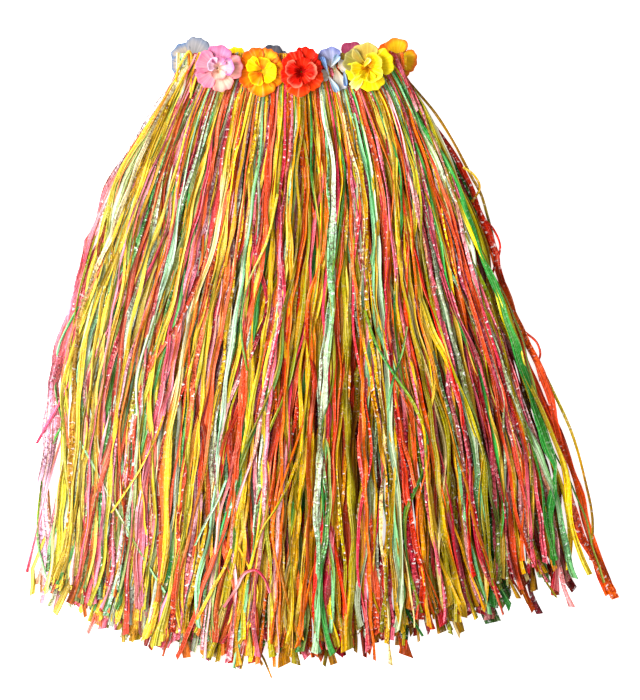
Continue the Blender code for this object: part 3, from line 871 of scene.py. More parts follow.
def folded_heads(name, node, lower_leg):
    """One run's heads: each ribbon comes up under the elastic, turns over its top edge in a half
    circle and goes down over it."""
    rng = np.random.default_rng(HEAD_SEED + lower_leg)
    half = HEAD_HALF - HEAD_EDGE
    x = (np.linspace(-half, half, HEADS) + rng.uniform(-1.0, 1.0, HEADS))[:, None]
    low = LEG_RISE + LEG_STEP * lower_leg + LEG_WALL / 2
    radius = LEG_STEP / 2 + rng.uniform(-0.35, 0.25, (HEADS, 1))
    run = HEAD_TOP + HEAD_DROP + HEAD_TAIL
    length = 2 * run + math.pi * radius
    s = np.linspace(0.0, 1.0, HEAD_POINTS)[None, :] * length
    angle = np.clip((s - run) / radius, 0.0, math.pi)
    climb = np.where(s < run, s, np.where(s > length - run, length - s, run))
    y = climb - HEAD_DROP - HEAD_TAIL + radius * np.sin(angle) + rng.uniform(-0.5, 0.8, (HEADS, 1))
    z = low + LEG_STEP / 2 - radius * np.cos(angle)
    lean = rng.normal(0.0, 1.2, (HEADS, 1)) * (s / length - 0.5)
    paths = np.stack((x + lean, y, z + 0.0 * x), axis=2)
    widths = rng.uniform(3.8, 5.4, (HEADS, 1)) * (1.0 + 0.12 * np.sin(angle * 2 + x))
    rolls = np.radians(rng.normal(0.0, 5.0, (HEADS, 1))) + 0.0 * s
    ranges = pick_ranges(rng, x[:, 0] / HEAD_HALF)
    colours = drift(rng, ranges, s * HEAD_STRETCH, HEAD_STRETCH * length[:, 0], x + 0.0 * s, 0.0 * s)
    folds = ribbon_folds(rng, HEADS) * (1, 1, 0.6, 0.6)
    obj = film_ribbons(name, paths, widths, rolls, folds, colours[:, :, None], crackles(rng, ranges),
                       cuts=np.zeros(HEADS), side=(1.0, 0.0, 0.0))
    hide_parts(node)


# ---------------------------------------------------------------- ribbons that lie loose
class Loose(NamedTuple):
    """A ribbon that has worked free: its dyes, its width, its height as a share of the stack under
    it, and its route as places across and below, in mm."""
    dyes: str
    width: float
    share: float
    route: tuple


LOOSE = (
    Loose("coral coral coral blush rose", 7.5, 0.35,
          ((-150, 18), (-168, 56), (-187, 86), (-209, 117), (-229, 151), (-236, 161), (-242, 176),
           (-254, 205), (-266, 238), (-274, 268))),
    Loose("olive leaf olive", 2.6, 0.3,
          ((-242, 190), (-253, 218), (-269, 267), (-282, 317), (-290, 370), (-296, 412))),
    Loose("green mint green", 3.4, 0.2,
          ((-274, 316), (-292, 346), (-306, 376), (-312, 412), (-309, 449), (-300, 482))),
    Loose("green leaf mint", 3.2, 0.15,
          ((-298, 475), (-316, 508), (-326, 541), (-333, 587), (-335, 634), (-326, 673), (-318, 700))),
    Loose("rose pink rose", 4.6, 0.2, ((-258, 356), (-282, 403), (-308, 455), (-336, 506))),
    Loose("pink blush rose", 4.8, 0.15,
          ((-286, 449), (-308, 515), (-329, 594), (-342, 647), (-349, 676))),
    Loose("olive gold olive leaf", 4.2, 0.3,
          ((148, 22), (170, 47), (186, 66), (212, 106), (236, 152), (250, 178), (258, 205),
           (271, 257), (282, 304))),
    Loose("rust red rust", 3.2, 0.35,
          ((236, 185), (249, 205), (267, 225), (275, 245), (268, 272), (257, 304))),
    Loose("red scarlet rust", 3.2, 0.3,
          ((291, 346), (309, 360), (324, 374), (328, 388), (324, 402), (328, 424))),
    Loose("olive lime gold olive", 4.2, 0.25,
          ((302, 356), (328, 403), (349, 446), (368, 488), (387, 554), (397, 607), (394, 660))),
    Loose("mint pearl sage mint", 2.8, 0.9,
          ((-279, 502), (-263, 531), (-224, 605), (-180, 680), (-166, 702))),
    Loose("mint pearl mint", 2.8, 1.0, ((-86, 554), (-97, 581), (-113, 610), (-127, 640))),
    Loose("yellow straw yellow", 2.6, 1.0,
          ((-168, 469), (-174, 488), (-197, 536), (-226, 581), (-237, 597))),
    Loose("yellow lime straw", 2.8, 1.0, ((6, 531), (-2, 554), (-18, 587), (-39, 620), (-47, 644))),
    Loose("pink blush rose pink", 4.2, 1.0,
          ((-89, 721), (-73, 697), (-58, 674), (-47, 672), (-36, 682), (-28, 702))),
    Loose("yellow straw gold", 4.6, 1.0, ((-79, 644), (-84, 660), (-102, 694), (-127, 742))),
    Loose("gold olive amber", 2.8, 0.4, ((-52, 766), (-39, 785), (-26, 815))),
    Loose("leaf green lime", 3.4, 1.0, ((96, 330), (110, 372), (138, 420), (160, 452), (172, 480))),
    Loose("lime straw mint leaf", 3.6, 1.0,
          ((-18, 178), (-32, 240), (-58, 300), (-66, 352), (-58, 410))),
    Loose("sage green mint", 3.4, 1.0, ((152, 352), (146, 384), (132, 428), (126, 462))),
    Loose("straw yellow gold", 3.2, 0.5, ((226, 142), (240, 152), (248, 168), (238, 188))),
    Loose("yellow straw gold amber", 3.4, 0.9,
          ((-152, 30), (-149, 14), (-142, 0), (-134, -10), (-131, 2), (-138, 20), (-142, 42))),
    Loose("gold yellow straw", 3.0, 1.0,
          ((-133, 44), (-131, 22), (-125, 2), (-121, -8), (-120, 6), (-127, 28), (-133, 52))),
    Loose("blush rust pearl rose", 3.0, 1.0,
          ((-126, -6), (-130, 4), (-137, 20), (-142, 40), (-152, 66))),
    Loose("rust pink rust blush", 5.0, 1.0,
          ((128, -9), (135, -6), (141, 6), (148, 22), (156, 42), (166, 68))),
    Loose("green mint leaf", 3.4, 0.9, ((126, 4), (132, 16), (142, 34), (154, 60), (170, 92))),
)
LOOSE_SEED = 5
LOOSE_POINTS = 60
LOOSE_KNOTS = 7               # places along one where its width and roll change
LOOSE_LOW = 1.8               # mm over the table, at the least
LOOSE_OVER = 1.5              # mm over the stack, for a whole share
LOOSE_ARCH = 0.8
PINCH = 0.3                   # of its width is left where the first one is twisted


def loose_ribbons():
    """Loose ribbons, each on one smooth curve through its route, arched a little in its middle."""
    rng = np.random.default_rng(LOOSE_SEED)
    count = len(LOOSE)
    t = np.linspace(0.0, 1.0, LOOSE_POINTS)
    paths = np.zeros((count, LOOSE_POINTS, 3))
    colours = np.zeros((count, LOOSE_POINTS, 3))
    for i, ribbon in enumerate(LOOSE):
        route = np.array(ribbon.route, float)
        steps = np.linalg.norm(np.diff(route, axis=0), axis=1)
        knots = np.concatenate(((0.0,), np.cumsum(steps) / steps.sum()))
        x, below = smooth_read(knots, route[:, 0], t), smooth_read(knots, route[:, 1], t)
        deep = np.maximum(below, HEAD_DROP)
        stack = fan_z(TOP_ROW + 1, np.clip(x, fan("left", deep), fan("right", deep)), deep)
        rest = LOOSE_LOW + ribbon.share * (stack + LOOSE_OVER - LOOSE_LOW)
        paths[i] = np.stack((x, -below, rest + LOOSE_ARCH * np.sin(np.pi * t) ** 2), axis=1)
        dyes = np.array([DYES[name] for name in ribbon.dyes.split()])
        marks = np.linspace(0.0, 1.0, len(dyes))
        for channel in range(3):
            colours[i, :, channel] = np.interp(t, marks, dyes[:, channel])
    widths = np.array([ribbon.width for ribbon in LOOSE])[:, None]
    knots = np.linspace(0.0, 1.0, LOOSE_KNOTS)
    swell = rng.uniform(0.75, 1.1, (count, LOOSE_KNOTS))
    swell[0, 4] = PINCH
    tilt = rng.normal(0.0, 16.0, (count, LOOSE_KNOTS))
    along = np.broadcast_to(t, (count, LOOSE_POINTS))
    obj = film_ribbons("loose_ribbons", paths, widths * smooth_read(knots, swell, along),
                       np.radians(smooth_read(knots, tilt, along)), ribbon_folds(rng, count),
                       colours[:, :, None] ** DYE_DEPTH, rng.uniform(0.1, 0.6, count),
                       cuts=rng.normal(0.0, 0.4, count))
    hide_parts("fringe_front")


# ---------------------------------------------------------------- flowers
PETAL_ACROSS = 14             # steps across a flat petal, half of those across a ribbed one
PETAL_ALONG = 14
RIB_PAIRS = 4.0               # pressed ribs on each half of a petal
CLOTH = 0.35                  # its thickness
SEAT = 19.8                   # mm over the table, for the front flowers,
INNER_CLEAR = 2.2             # with their inner rings this much higher
REAR_SEAT = 1.5               # for those that show their reverse,
REAR_INNER = 0.4              # and for the inner rings under them
PETAL_DEPTH = 1.1             # over 1 deepens and saturates the cloth
PETAL_LIGHT = 0.84            # of the table's white, for the palest cloth


class Tone(NamedTuple):
    """A petal's colours from its rim to the throat."""
    rim: tuple
    body: tuple
    throat: tuple


TONES = {
    "rose": Tone((222, 120, 150), (228, 138, 156), (246, 204, 188)),
    "magenta": Tone((202, 110, 152), (214, 136, 170), (246, 204, 190)),
    "salmon": Tone((238, 142, 150), (244, 174, 160), (246, 202, 170)),
    "peach": Tone((238, 150, 146), (246, 184, 164), (248, 204, 166)),
    "lilac edge": Tone((236, 204, 226), (236, 188, 208), (246, 212, 198)),
    "lilac cup": Tone((204, 124, 180), (214, 162, 182), (226, 178, 166)),
    "orange": Tone((240, 88, 0), (250, 138, 0), (252, 180, 0)),
    "orange gold": Tone((250, 120, 0), (252, 164, 0), (252, 200, 0)),
    "cream orange": Tone((246, 118, 26), (250, 188, 36), (252, 200, 10)),
    "yellow lobe": Tone((255, 222, 10), (255, 216, 0), (250, 150, 6)),
    "orange cup": Tone((255, 200, 6), (252, 150, 0), (236, 98, 0)),
    "red": Tone((224, 26, 2), (242, 44, 2), (196, 8, 0)),
    "red orange": Tone((248, 76, 4), (246, 56, 2), (220, 18, 0)),
    "red lobe": Tone((250, 116, 92), (240, 30, 8), (170, 0, 0)),
    "slate fan": Tone((118, 126, 178), (156, 158, 190), (212, 196, 182)),
    "blue strip": Tone((116, 148, 202), (146, 176, 214), (196, 204, 214)),
    "ice fold": Tone((146, 176, 208), (180, 198, 214), (204, 202, 198)),
    "tan": Tone((184, 184, 192), (200, 188, 172), (192, 166, 134)),
    "olive yellow": Tone((152, 142, 88), (158, 146, 62), (228, 180, 12)),
    "peach yellow": Tone((208, 186, 100), (200, 170, 74), (248, 204, 14)),
    "yellow": Tone((252, 228, 30), (250, 216, 4), (246, 186, 4)),
    "cream tip": Tone((252, 240, 150), (252, 226, 70), (250, 204, 12)),
    "yellow cup": Tone((252, 238, 70), (252, 218, 6), (240, 166, 6)),
    "slate": Tone((126, 136, 154), (160, 158, 160), (190, 176, 158)),
    "cream blue": Tone((104, 126, 158), (176, 164, 150), (190, 172, 150)),
    "slate dark": Tone((76, 82, 98), (112, 112, 122), (144, 132, 126)),
    "end orange": Tone((248, 128, 36), (255, 200, 26), (255, 214, 20)),
    "mauve": Tone((158, 58, 92), (192, 86, 124), (206, 130, 150)),
}


class Petal(NamedTuple):
    """A petal: the way that it points, its shape and its root, in mm."""
    bearing: float            # degrees, 90 is away from the hem
    length: float
    spread: float             # degrees between its two sides
    base: float               # height of its root over the ring's seat
    cup: float                # further rise to the rim
    curl: float               # rise of both sides
    tone: str
    x: float = 0.0            # root, from the flower's middle
    y: float = 0.0


class Flower(NamedTuple):
    """A flower's middle, its height and its two rings of petals, in mm."""
    x: float                  # from the middle of the waist line
    y: float
    seat: float               # over the table
    lift: float               # that its petals rise out of the seat
    outer: tuple
    inner: tuple


def petals(*rows):
    """Petals, each from a row of its values."""
    return tuple(Petal(*row) for row in rows)


WHORL_SPREAD = 84
WHORL_STEP = 0.12             # by which every other petal of a whorl lies higher


def whorl(turn, length, tone):
    """Five equal flat petals all round."""
    return tuple(Petal(turn + 72.0 * i, length, WHORL_SPREAD, WHORL_STEP * (i % 2), 0.0, 0.0, tone)
                 for i in range(5))


FLOWERS = {
    "pink": Flower(-97, -12, SEAT, 6.6, petals(
        (82, 30, 86, 0.2, 1.6, 1.0, "magenta"), (155, 29, 94, 0.7, 2.0, 1.4, "rose"),
        (220, 31, 79, 0.3, 1.8, 1.2, "rose"), (289, 32, 73, 0.8, 1.4, 1.2, "peach"),
        (2, 33, 80, 0.4, 1.8, 1.2, "salmon"),
    ), petals(
        (158, 13, 137, 0.2, 5.0, 0.6, "lilac edge", 0, 2), (4, 20, 100, 0.5, 7.0, 2.0, "lilac cup", 2, 0),
        (275, 14, 137, 0.0, 3.0, 1.6, "peach", 1, -2), (82, 13, 137, 0.0, 4.0, 1.6, "magenta", 1, 2),
    )),
    "orange": Flower(-39, -16, SEAT, 1.6, petals(
        (127, 33, 90, 0.6, 1.2, 0.9, "orange"), (64, 31, 72, 0.2, 1.2, 1.0, "cream orange"),
        (16, 29, 64, 0.5, 1.2, 0.9, "orange gold"), (334, 30, 72, 0.1, 1.2, 0.9, "orange gold"),
        (270, 33, 90, 0.6, 1.2, 0.9, "orange gold"), (203, 32, 70, 0.2, 1.2, 0.8, "orange"),
    ), petals(
        (152, 21, 83, 0.3, 3.4, 1.6, "yellow lobe", 0, 2),
        (228, 19, 101, 0.6, 3.8, 1.8, "orange cup", 0, -2),
        (350, 19, 137, 0.3, 3.0, 1.6, "yellow lobe", 1, -1),
        (74, 16, 132, 0.0, 3.0, 1.4, "orange cup", 0, 2),
    )),
    "red": Flower(13, -17, SEAT, 6.6, petals(
        (128, 29, 94, 0.6, 2.0, 1.4, "red"), (72, 33, 73, 0.2, 2.0, 1.4, "red"),
        (22, 28, 67, 0.7, 2.0, 1.2, "red"), (325, 31, 76, 0.2, 1.8, 1.2, "red orange"),
        (259, 33, 80, 0.6, 1.8, 1.0, "red orange"), (205, 28, 74, 0.1, 1.8, 1.2, "red"),
    ), petals(
        (165, 20, 88, 0.5, 7.0, 2.4, "red lobe", -1, 1), (3, 19, 101, 0.6, 7.0, 2.4, "red lobe", 2, 0),
        (238, 21, 83, 0.9, 6.4, 2.4, "red lobe", -1, -2), (82, 16, 137, 0.2, 6.0, 2.0, "red", 1, 2),
        (305, 15, 123, 0.0, 5.0, 2.0, "red", 1, -2),
    )),
    "lavender": Flower(55, -13, SEAT, 1.6, petals(
        (106, 29, 86, 0.3, 1.4, 1.0, "slate fan"), (284, 31, 53, 0.6, 1.0, 1.2, "tan", 3, 2),
        (200, 13, 104, 0.0, 0.6, 0.6, "tan", -4, -6), (20, 12, 137, 0.2, 1.0, 0.8, "tan", 6, 2),
    ), petals(
        (111, 27, 16, 0.6, 2.2, 1.6, "blue strip", -5, -10),
        (300, 26, 25, 0.9, 1.6, 1.8, "ice fold", -7, -8), (56, 20, 34, 0.4, 2.8, 2.2, "ice fold", -4, 1),
        (276, 23, 19, 0.3, 2.0, 1.4, "blue strip", 14, 0),
    )),
    "yellow": Flower(101, -11, SEAT, 6.6, petals(
        (157, 34, 71, 0.6, 1.8, 1.2, "olive yellow"), (104, 32, 94, 0.2, 2.0, 1.2, "peach yellow"),
        (18, 34, 87, 0.6, 1.6, 1.0, "yellow"), (284, 32, 87, 0.2, 1.8, 1.0, "yellow"),
        (234, 35, 32, 0.7, 1.4, 1.2, "cream tip"), (199, 30, 65, 0.0, 1.4, 1.0, "yellow"),
    ), petals(
        (192, 22, 78, 0.4, 7.0, 2.4, "yellow cup", -1, -1),
        (310, 20, 107, 0.7, 7.0, 2.4, "yellow cup", 1, -2),
        (44, 17, 137, 0.2, 6.0, 1.8, "yellow cup", 2, 2),
        (51, 18, 26, 1.6, 5.0, 1.2, "cream tip", -9, -3), (258, 17, 119, 0.0, 5.0, 1.8, "yellow", 0, -2),
    )),
    "end_blue": Flower(-132, -5, REAR_SEAT, 0.0, petals(
        (70, 36, 75, 0.6, 0.4, 0.4, "slate"), (134, 31, 79, 0.2, 0.4, 0.4, "cream blue"),
        (193, 27, 94, 0.6, 0.2, 0.4, "cream blue"), (262, 33, 77, 0.1, 0.0, 0.2, "slate"),
        (335, 27, 94, 0.3, 0.0, 0.2, "slate"),
    ), whorl(34, 20, "slate")),
    "end_orange": Flower(138, 1, REAR_SEAT, 0.0, petals(
        (88, 28, 94, 0.5, 0.5, 0.4, "end orange"), (352, 28, 94, 0.6, 0.4, 0.4, "end orange"),
        (146, 28, 63, 0.1, 0.3, 0.2, "orange"), (285, 27, 90, 0.1, 0.0, 0.2, "end orange"),
        (215, 26, 94, 0.3, 0.0, 0.2, "end orange"),
    ), whorl(24, 18, "end orange")),
    "rear_yellow": Flower(-72, -13, REAR_SEAT, 0.0, petals(
        (98, 30, 72, 0.4, 0.5, 0.3, "yellow"), (30, 22, 94, 0.1, 0.2, 0.2, "yellow"),
        (160, 22, 94, 0.1, 0.2, 0.2, "yellow"), (234, 26, 76, 0.3, 0.0, 0.2, "yellow"),
        (306, 26, 76, 0.3, 0.0, 0.2, "yellow"),
    ), whorl(126, 15, "yellow")),
    "rear_slate": Flower(-25, -12, REAR_SEAT, 0.0, petals(
        (93, 32, 76, 0.5, 0.5, 0.3, "slate dark"), (48, 29, 37, 0.1, 0.2, 0.2, "slate"),
        (150, 22, 94, 0.1, 0.2, 0.2, "slate dark"), (232, 26, 76, 0.3, 0.0, 0.2, "slate"),
        (306, 26, 76, 0.3, 0.0, 0.2, "slate"),
    ), whorl(126, 15, "slate")),
    "rear_mauve": Flower(81, -7, REAR_SEAT, 0.0, petals(
        (97, 31, 72, 0.5, 0.5, 0.3, "mauve"), (36, 22, 94, 0.1, 0.2, 0.2, "mauve"),
        (148, 23, 70, 0.1, 0.2, 0.2, "slate"), (232, 26, 76, 0.3, 0.0, 0.2, "mauve"),
        (306, 26, 76, 0.3, 0.0, 0.2, "mauve"),
    ), whorl(116, 15, "mauve")),
}


LIFT_OVER = 0.34              # the petals rise out of the seat within this share of their length
PRESSED = 0.12                # ruffles and ribs of a flower that lies on its face
SCALLOP = 0.028               # of the petal's length
RUFFLE = 0.50                 # mm
RIB = 0.12                    # mm
PETAL_STEP = 9.0              # between neighbours on the cloth's own map, in ribs


def petal_surface(petal, middle, seat, lift, rng, flat):
    """One petal as a rounded fan: u across it, -1 to 1, turns about the root by half its spread, and
    t runs from the root to the rim, 0 to 1.

    Reach = length t (1 - 0.07 u^2 - 0.24 u^6, with shallow scallops near the rim).
    Height = root + lift risen within the first third + cup t^2 + curl u^2 t
             + a ruffle along the rim + a fine rib for each fold that runs out from the root."""
    u = np.linspace(-1.0, 1.0, petal_columns(flat))[None, :]
    t = np.linspace(0.0, 1.0, PETAL_ALONG)[:, None]
    wave = rng.uniform(2.2, 4.4, 2)
    start = rng.uniform(0, TURN, 4)
    scallop = SCALLOP * np.cos(wave[0] * math.pi * u + start[0]) * t ** 2
    reach = 1.0 + (petal.length - 1.0) * t * (1.0 - 0.07 * u ** 2 - 0.24 * u ** 6 + scallop)
    soft = PRESSED if flat else 1.0
    ruffle = RUFFLE * t ** 2 * np.sin(wave[1] * 2.4 * u + start[1])
    ribs = RIB * t * np.sin(TURN * 3.6 * u + start[2]) * (0.6 + 0.4 * np.sin(TURN * u + start[3]))
    rise = lift * np.clip(t / LIFT_OVER, 0.0, 1.0) ** 1.5
    height = (petal.base + rise + petal.cup * t ** 2 + petal.curl * u ** 2 * t
              + soft * (ruffle + 0.50 * t ** 2 + ribs + 0.20 * t))
    turned = u * math.radians(petal.spread / 2) * (1.0 - 0.10 * (1.0 - t))
    angle = math.radians(petal.bearing) + turned
    x = middle[0] + petal.x + reach * np.cos(angle)
    y = middle[1] + petal.y + reach * np.sin(angle)
    return np.stack((x, y, seat + height), axis=2), u + 0.0 * t, t + 0.0 * u


def petal_columns(flat):
    """Points across a petal."""
    return PETAL_ACROSS * (1 if flat else 2) + 1


def petal_colours(tone, u, t, rng):
    """Colour = throat, then body by a smooth step a little way up the petal, then rim by one across
    an edge whose depth wavers with u and sinks towards the petal's two sides."""
    rim, body, throat = (PETAL_LIGHT * linear(*shade) ** PETAL_DEPTH for shade in TONES[tone])
    edge = 0.90 + 0.05 * np.sin(rng.uniform(3, 6) * u + rng.uniform(0, TURN)) - 0.08 * np.abs(u) ** 3
    inner = np.clip((t - 0.10) / 0.45, 0.0, 1.0)[..., None]
    outer = np.clip((t - edge + 0.16) / 0.24, 0.0, 1.0)[..., None]
    inner, outer = inner * inner * (3 - 2 * inner), outer * outer * (3 - 2 * outer)
    return throat + (body - throat) * inner + (rim - body) * outer


def petal_ring(name, ring):
    """A ring of petals as one piece of thin cloth."""
    flower = FLOWERS[name]
    rng = np.random.default_rng(sum(map(ord, name + ring)))
    flat = flower.seat < SEAT
    seat = flower.seat
    if ring == "inner":
        seat = REAR_INNER if flat else seat + INNER_CLEAR
    places, shades, maps, quads = [], [], [], []
    columns = petal_columns(flat)
    steps = np.arange(PETAL_ALONG - 1)[:, None] * columns + np.arange(columns - 1)[None, :]
    cell = np.stack((steps, steps + columns, steps + columns + 1, steps + 1), axis=2).reshape(-1, 4)
    for i, petal in enumerate(flower.outer if ring == "outer" else flower.inner):
        surface, u, t = petal_surface(petal, (flower.x, flower.y), seat + CLOTH / 2, flower.lift,
                                      rng, flat)
        places.append(surface.reshape(-1, 3))
        shades.append(petal_colours(petal.tone, u, t, rng).reshape(-1, 3))
        maps.append(np.stack((u * RIB_PAIRS + PETAL_STEP * i, t * petal.length), axis=2).reshape(-1, 2))
        quads.append(cell + i * columns * PETAL_ALONG)
    places = np.concatenate(places) * MM + ON_TABLE
    quads = np.concatenate(quads)
    mesh = quad_mesh(f"petals_{name}_{ring}", places, quads)
    write_map(mesh, "petal", np.concatenate(maps)[quads.ravel()])
    write_colours(mesh, "shade", np.concatenate(shades))
    mesh.materials.append(petal_material())
    obj = placed(mesh.name, mesh)
    wall = obj.modifiers.new("cloth", "SOLIDIFY")
    wall.thickness = CLOTH * MM
    wall.offset = 0.0
    node = f"flower_{name}_{ring}"
    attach(obj, "root")
    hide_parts(node)


@cache
def weave_group():
    """Plain weave, from a map: height = sin(x threads) sin(y threads)."""
    tree, given, found = group(
        "plain weave", (("Place", "NodeSocketVector"), ("Threads", "NodeSocketFloat")),
        (("Height", "NodeSocketFloat"),))
    parts = tree.nodes.new("ShaderNodeSeparateXYZ")
    wire(tree, given["Place"], parts.inputs["Vector"])
    warp, weft = (math_node(tree, "SINE", times(tree, side, given["Threads"]))
                  for side in (parts.outputs["X"], parts.outputs["Y"]))
    wire(tree, times(tree, warp, weft), found["Height"])
    return tree


SATIN_RIBS = (1.7, 0.012)     # waves to a rib across the petal, and to a mm along it
SATIN_CLOUDS = (0.5, 0.08)
SATIN_SHADE = (0.86, 1.04)    # painted shade between the ribs and painted light on them, of the colour's light
# painted sheen on the ribs
SATIN_SHINE = (1.0, 0.92, 0.56)
SATIN_SHINE_SHARE = 0.08
SATIN_ROUGHNESS = (0.50, 0.70)
SATIN_GLOSS = 0.08
SATIN_THREADS = TURN * 1600.0               # to a metre


@cache
def petal_material():
    """Thin printed satin: its colours from rim to throat, pressed ribs that run out from the root, with
    painted shade between them and painted light and sheen on them, and a fine weave."""
    made, tree, shader = new_material("petal cloth")
    place = map_place(tree, "petal")
    rib = noise(tree, place, SATIN_RIBS, 2.0, 0.6)
    cloud = noise(tree, place, SATIN_CLOUDS, 2.0)
    light = ramp(tree, rib, 0.36, 0.60, *SATIN_SHADE)
    ribbed = tinted(tree, attribute(tree, "shade")["Color"], light)
    shine = times(tree, ramp(tree, rib, 0.55, 0.72), SATIN_SHINE_SHARE)
    wire(tree, mix(tree, shine, ribbed, SATIN_SHINE), shader.inputs["Base Color"])
    wire(tree, ramp(tree, cloud, 0.3, 0.7, *SATIN_ROUGHNESS), shader.inputs["Roughness"])
    shader.inputs["Specular IOR Level"].default_value = SATIN_GLOSS
    spot = tree.nodes.new("ShaderNodeTexCoord")
    weave = placed_group(tree, weave_group(), spot.outputs["Object"])
    weave.inputs["Threads"].default_value = SATIN_THREADS
    height = plus(tree, rib, times(tree, weave.outputs["Height"], 0.02))
    relief(tree, shader, height, strength=0.3, distance=0.0010)
    return made


# ---------------------------------------------------------------- elastic
BAND_HALF = 150.0
BAND_WIDTH = 12.0
BAND_WALL = 1.2
BAND_CLEAR = 0.3              # between its lower run and the legs under it
BAND_CORDS = 9                # rubber cords across the elastic
BAND_SWELL = 0.28             # of its wall, over each cord
BAND_STEPS = 220
PUCKERS = (0.10, 2.6)         # share of the wall, and waves in radians to a mm


def elastic_band():
    """The flattened loop of elastic: a slot-shaped path, two straight runs and two half circles,
    with a wall whose faces swell over each cord and pucker along the loop."""
    low = LEG_RISE + LEG_WALL + BAND_CLEAR + BAND_WALL / 2
    radius = LEG_STEP
    fold = BAND_HALF - radius - BAND_WALL / 2
    run, bend = 2 * fold, math.pi * radius
    s = np.linspace(0.0, 2 * (run + bend), BAND_STEPS, endpoint=False)[:, None]
    part = s % (run + bend)
    angle = np.clip((part - run) / radius, 0.0, math.pi)
    way = np.where(s < run + bend, 1.0, -1.0)
    x = way * (np.minimum(part, run) - fold + radius * np.sin(angle))
    z = low + radius - way * radius * np.cos(angle)
    facing = np.stack((way * np.sin(angle), -way * np.cos(angle)), axis=2)

    across = np.linspace(-1.0, 1.0, 6 * BAND_CORDS + 1)
    over_cords = np.abs(np.cos(np.pi * BAND_CORDS * across / 2))
    swell = (BAND_WALL / 2) * ((1.0 - BAND_SWELL) + BAND_SWELL * over_cords)
    round_y = np.concatenate((across, across[::-1]))[None, :] * BAND_WIDTH / 2
    offset = np.concatenate((swell, -swell[::-1]))[None, :]
    puckers = 1.0 + PUCKERS[0] * np.sin(s * PUCKERS[1])
    places = np.stack((x + facing[..., 0] * offset * puckers, round_y + 0.0 * x,
                       z + facing[..., 1] * offset * puckers), axis=2).reshape(-1, 3)
    around = len(round_y[0])
    i = np.arange(BAND_STEPS)[:, None]
    j = np.arange(around)[None, :]
    j_next, i_next = (j + 1) % around, (i + 1) % BAND_STEPS
    quads = np.stack((i * around + j, i * around + j_next, i_next * around + j_next,
                      i_next * around + j), axis=2).reshape(-1, 4)
    mesh = quad_mesh("elastic_band", places * MM + ON_TABLE, quads)
    flat = np.stack((s + 0.0 * round_y, round_y + 0.0 * s), axis=2).reshape(-1, 2)
    write_map(mesh, "band", flat[quads.ravel()])
    mesh.materials.append(elastic_material())
    obj = placed("elastic_band", mesh)
    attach(obj, "root")
    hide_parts("waistband")


# darker between the threads, lighter on them
BETWEEN_THREADS, ON_THREADS = (0.62, 0.60, 0.55), (0.86, 0.85, 0.82)
ELASTIC_THREADS = TURN * 0.9                # to a mm


def elastic_material():
    """White knitted elastic: cross threads over the cords, darker between them."""
    made, tree, shader = new_material("knitted elastic")
    weave = placed_group(tree, weave_group(), map_place(tree, "band"))
    weave.inputs["Threads"].default_value = ELASTIC_THREADS
    height = weave.outputs["Height"]
    wire(tree, mix(tree, ramp(tree, height, -0.8, 0.8), BETWEEN_THREADS, ON_THREADS), shader.inputs["Base Color"])
    wire(tree, ramp(tree, height, -0.8, 0.8, 0.75, 0.9), shader.inputs["Roughness"])
    relief(tree, shader, height, strength=0.6, distance=0.0003)
    return made


# ---------------------------------------------------------------- table, light and camera
VIEW_MIDDLE = (37.6, 382.8)                 # mm right of and below the waist's middle
VIEW_HEIGHT = 924.0                         # mm of the table, along the view's long side
CAMERA_HIGH = 6000.0                        # mm over the table
SENSOR = 36.0
TABLE_HALF = 4.0                            # m


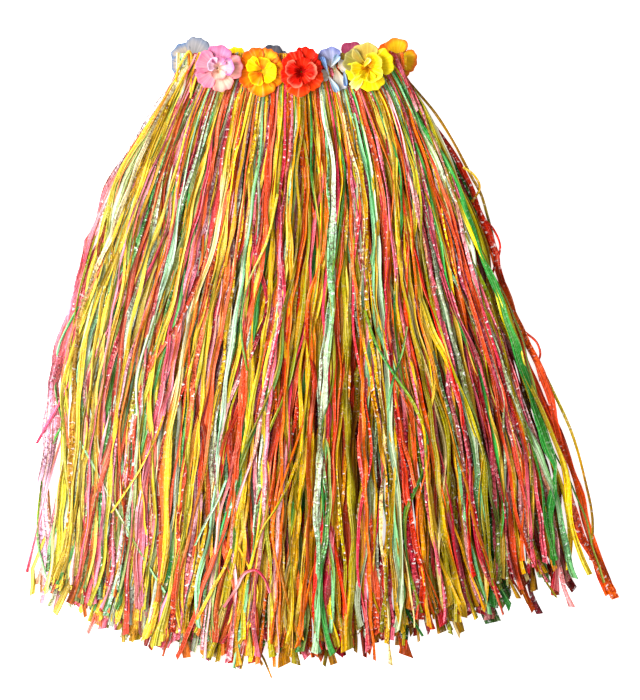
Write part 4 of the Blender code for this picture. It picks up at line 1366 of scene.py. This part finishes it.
def table():
    """A white light table, larger than any view of it, whose glow lifts the shadows that fall on it."""
    corners = np.array(((-1, -1, 0), (1, -1, 0), (1, 1, 0), (-1, 1, 0)))
    mesh = bpy.data.meshes.new("table")
    mesh.from_pydata((TABLE_HALF * corners).tolist(), [], [(0, 1, 2, 3)])
    made, _, shader = new_material("white table")
    shader.inputs["Base Color"].default_value = (0.92, 0.92, 0.92, 1.0)
    shader.inputs["Roughness"].default_value = 0.6
    shader.inputs["Emission Color"].default_value = (1.0, 1.0, 1.0, 1.0)
    shader.inputs["Emission Strength"].default_value = 0.75
    mesh.materials.append(made)
    placed("table", mesh)


def area_light(name, place, aim, size, power):
    """A square white light that faces a point; size in metres, power in watts."""
    data = bpy.data.lights.new(name, "AREA")
    data.shape = "RECTANGLE"
    data.size = data.size_y = size
    data.energy = power
    obj = placed(name, data)
    obj.location = place
    obj.rotation_euler = (Vector(aim) - Vector(place)).to_track_quat("-Z", "Y").to_euler()
    obj.visible_camera = False


def lights():
    """A key from the upper left, weak lights from the left and the right and a dim white room."""
    area_light("key", (-1.66, 0.65, 1.12), (0.0, 0.0, 0.0), 1.1, 100.0)
    area_light("left", (-0.9, -0.25, 1.1), (-0.2, -0.15, 0.0), 1.0, 20.0)
    area_light("fill", (1.5, -0.7, 1.8), (0.0, 0.0, 0.0), 1.6, 10.0)
    room = bpy.data.worlds.new("room")
    room.use_nodes = True
    glow = room.node_tree.nodes["Background"].inputs
    glow["Color"].default_value = (1.0, 1.0, 1.0, 1.0)
    glow["Strength"].default_value = 0.50
    bpy.context.scene.world = room


def camera():
    """Straight above the skirt, with the waist towards the top of the view."""
    data = bpy.data.cameras.new("camera")
    data.sensor_width = SENSOR
    data.lens = SENSOR * CAMERA_HIGH / VIEW_HEIGHT
    data.clip_start, data.clip_end = 0.05, 50.0
    obj = placed("camera", data)
    obj.location = (WAIST[0] + VIEW_MIDDLE[0] * MM, WAIST[1] - VIEW_MIDDLE[1] * MM, CAMERA_HIGH * MM)
    bpy.context.scene.camera = obj


def main():
    """Everything, from the room to the petals."""
    camera()
    table()
    lights()
    bpy.context.scene.view_settings.view_transform = "Standard"
    elastic_band()
    for leg_index in range(len(LEGS)):
        for parity in (0, 1):
            fringe_row(leg_index, parity)
    folded_heads("heads_under", "fringe_back", 0)
    folded_heads("heads_over", "fringe_front", 2)
    loose_ribbons()
    for name in FLOWERS:
        for ring in ("outer", "inner"):
            petal_ring(name, ring)


main()
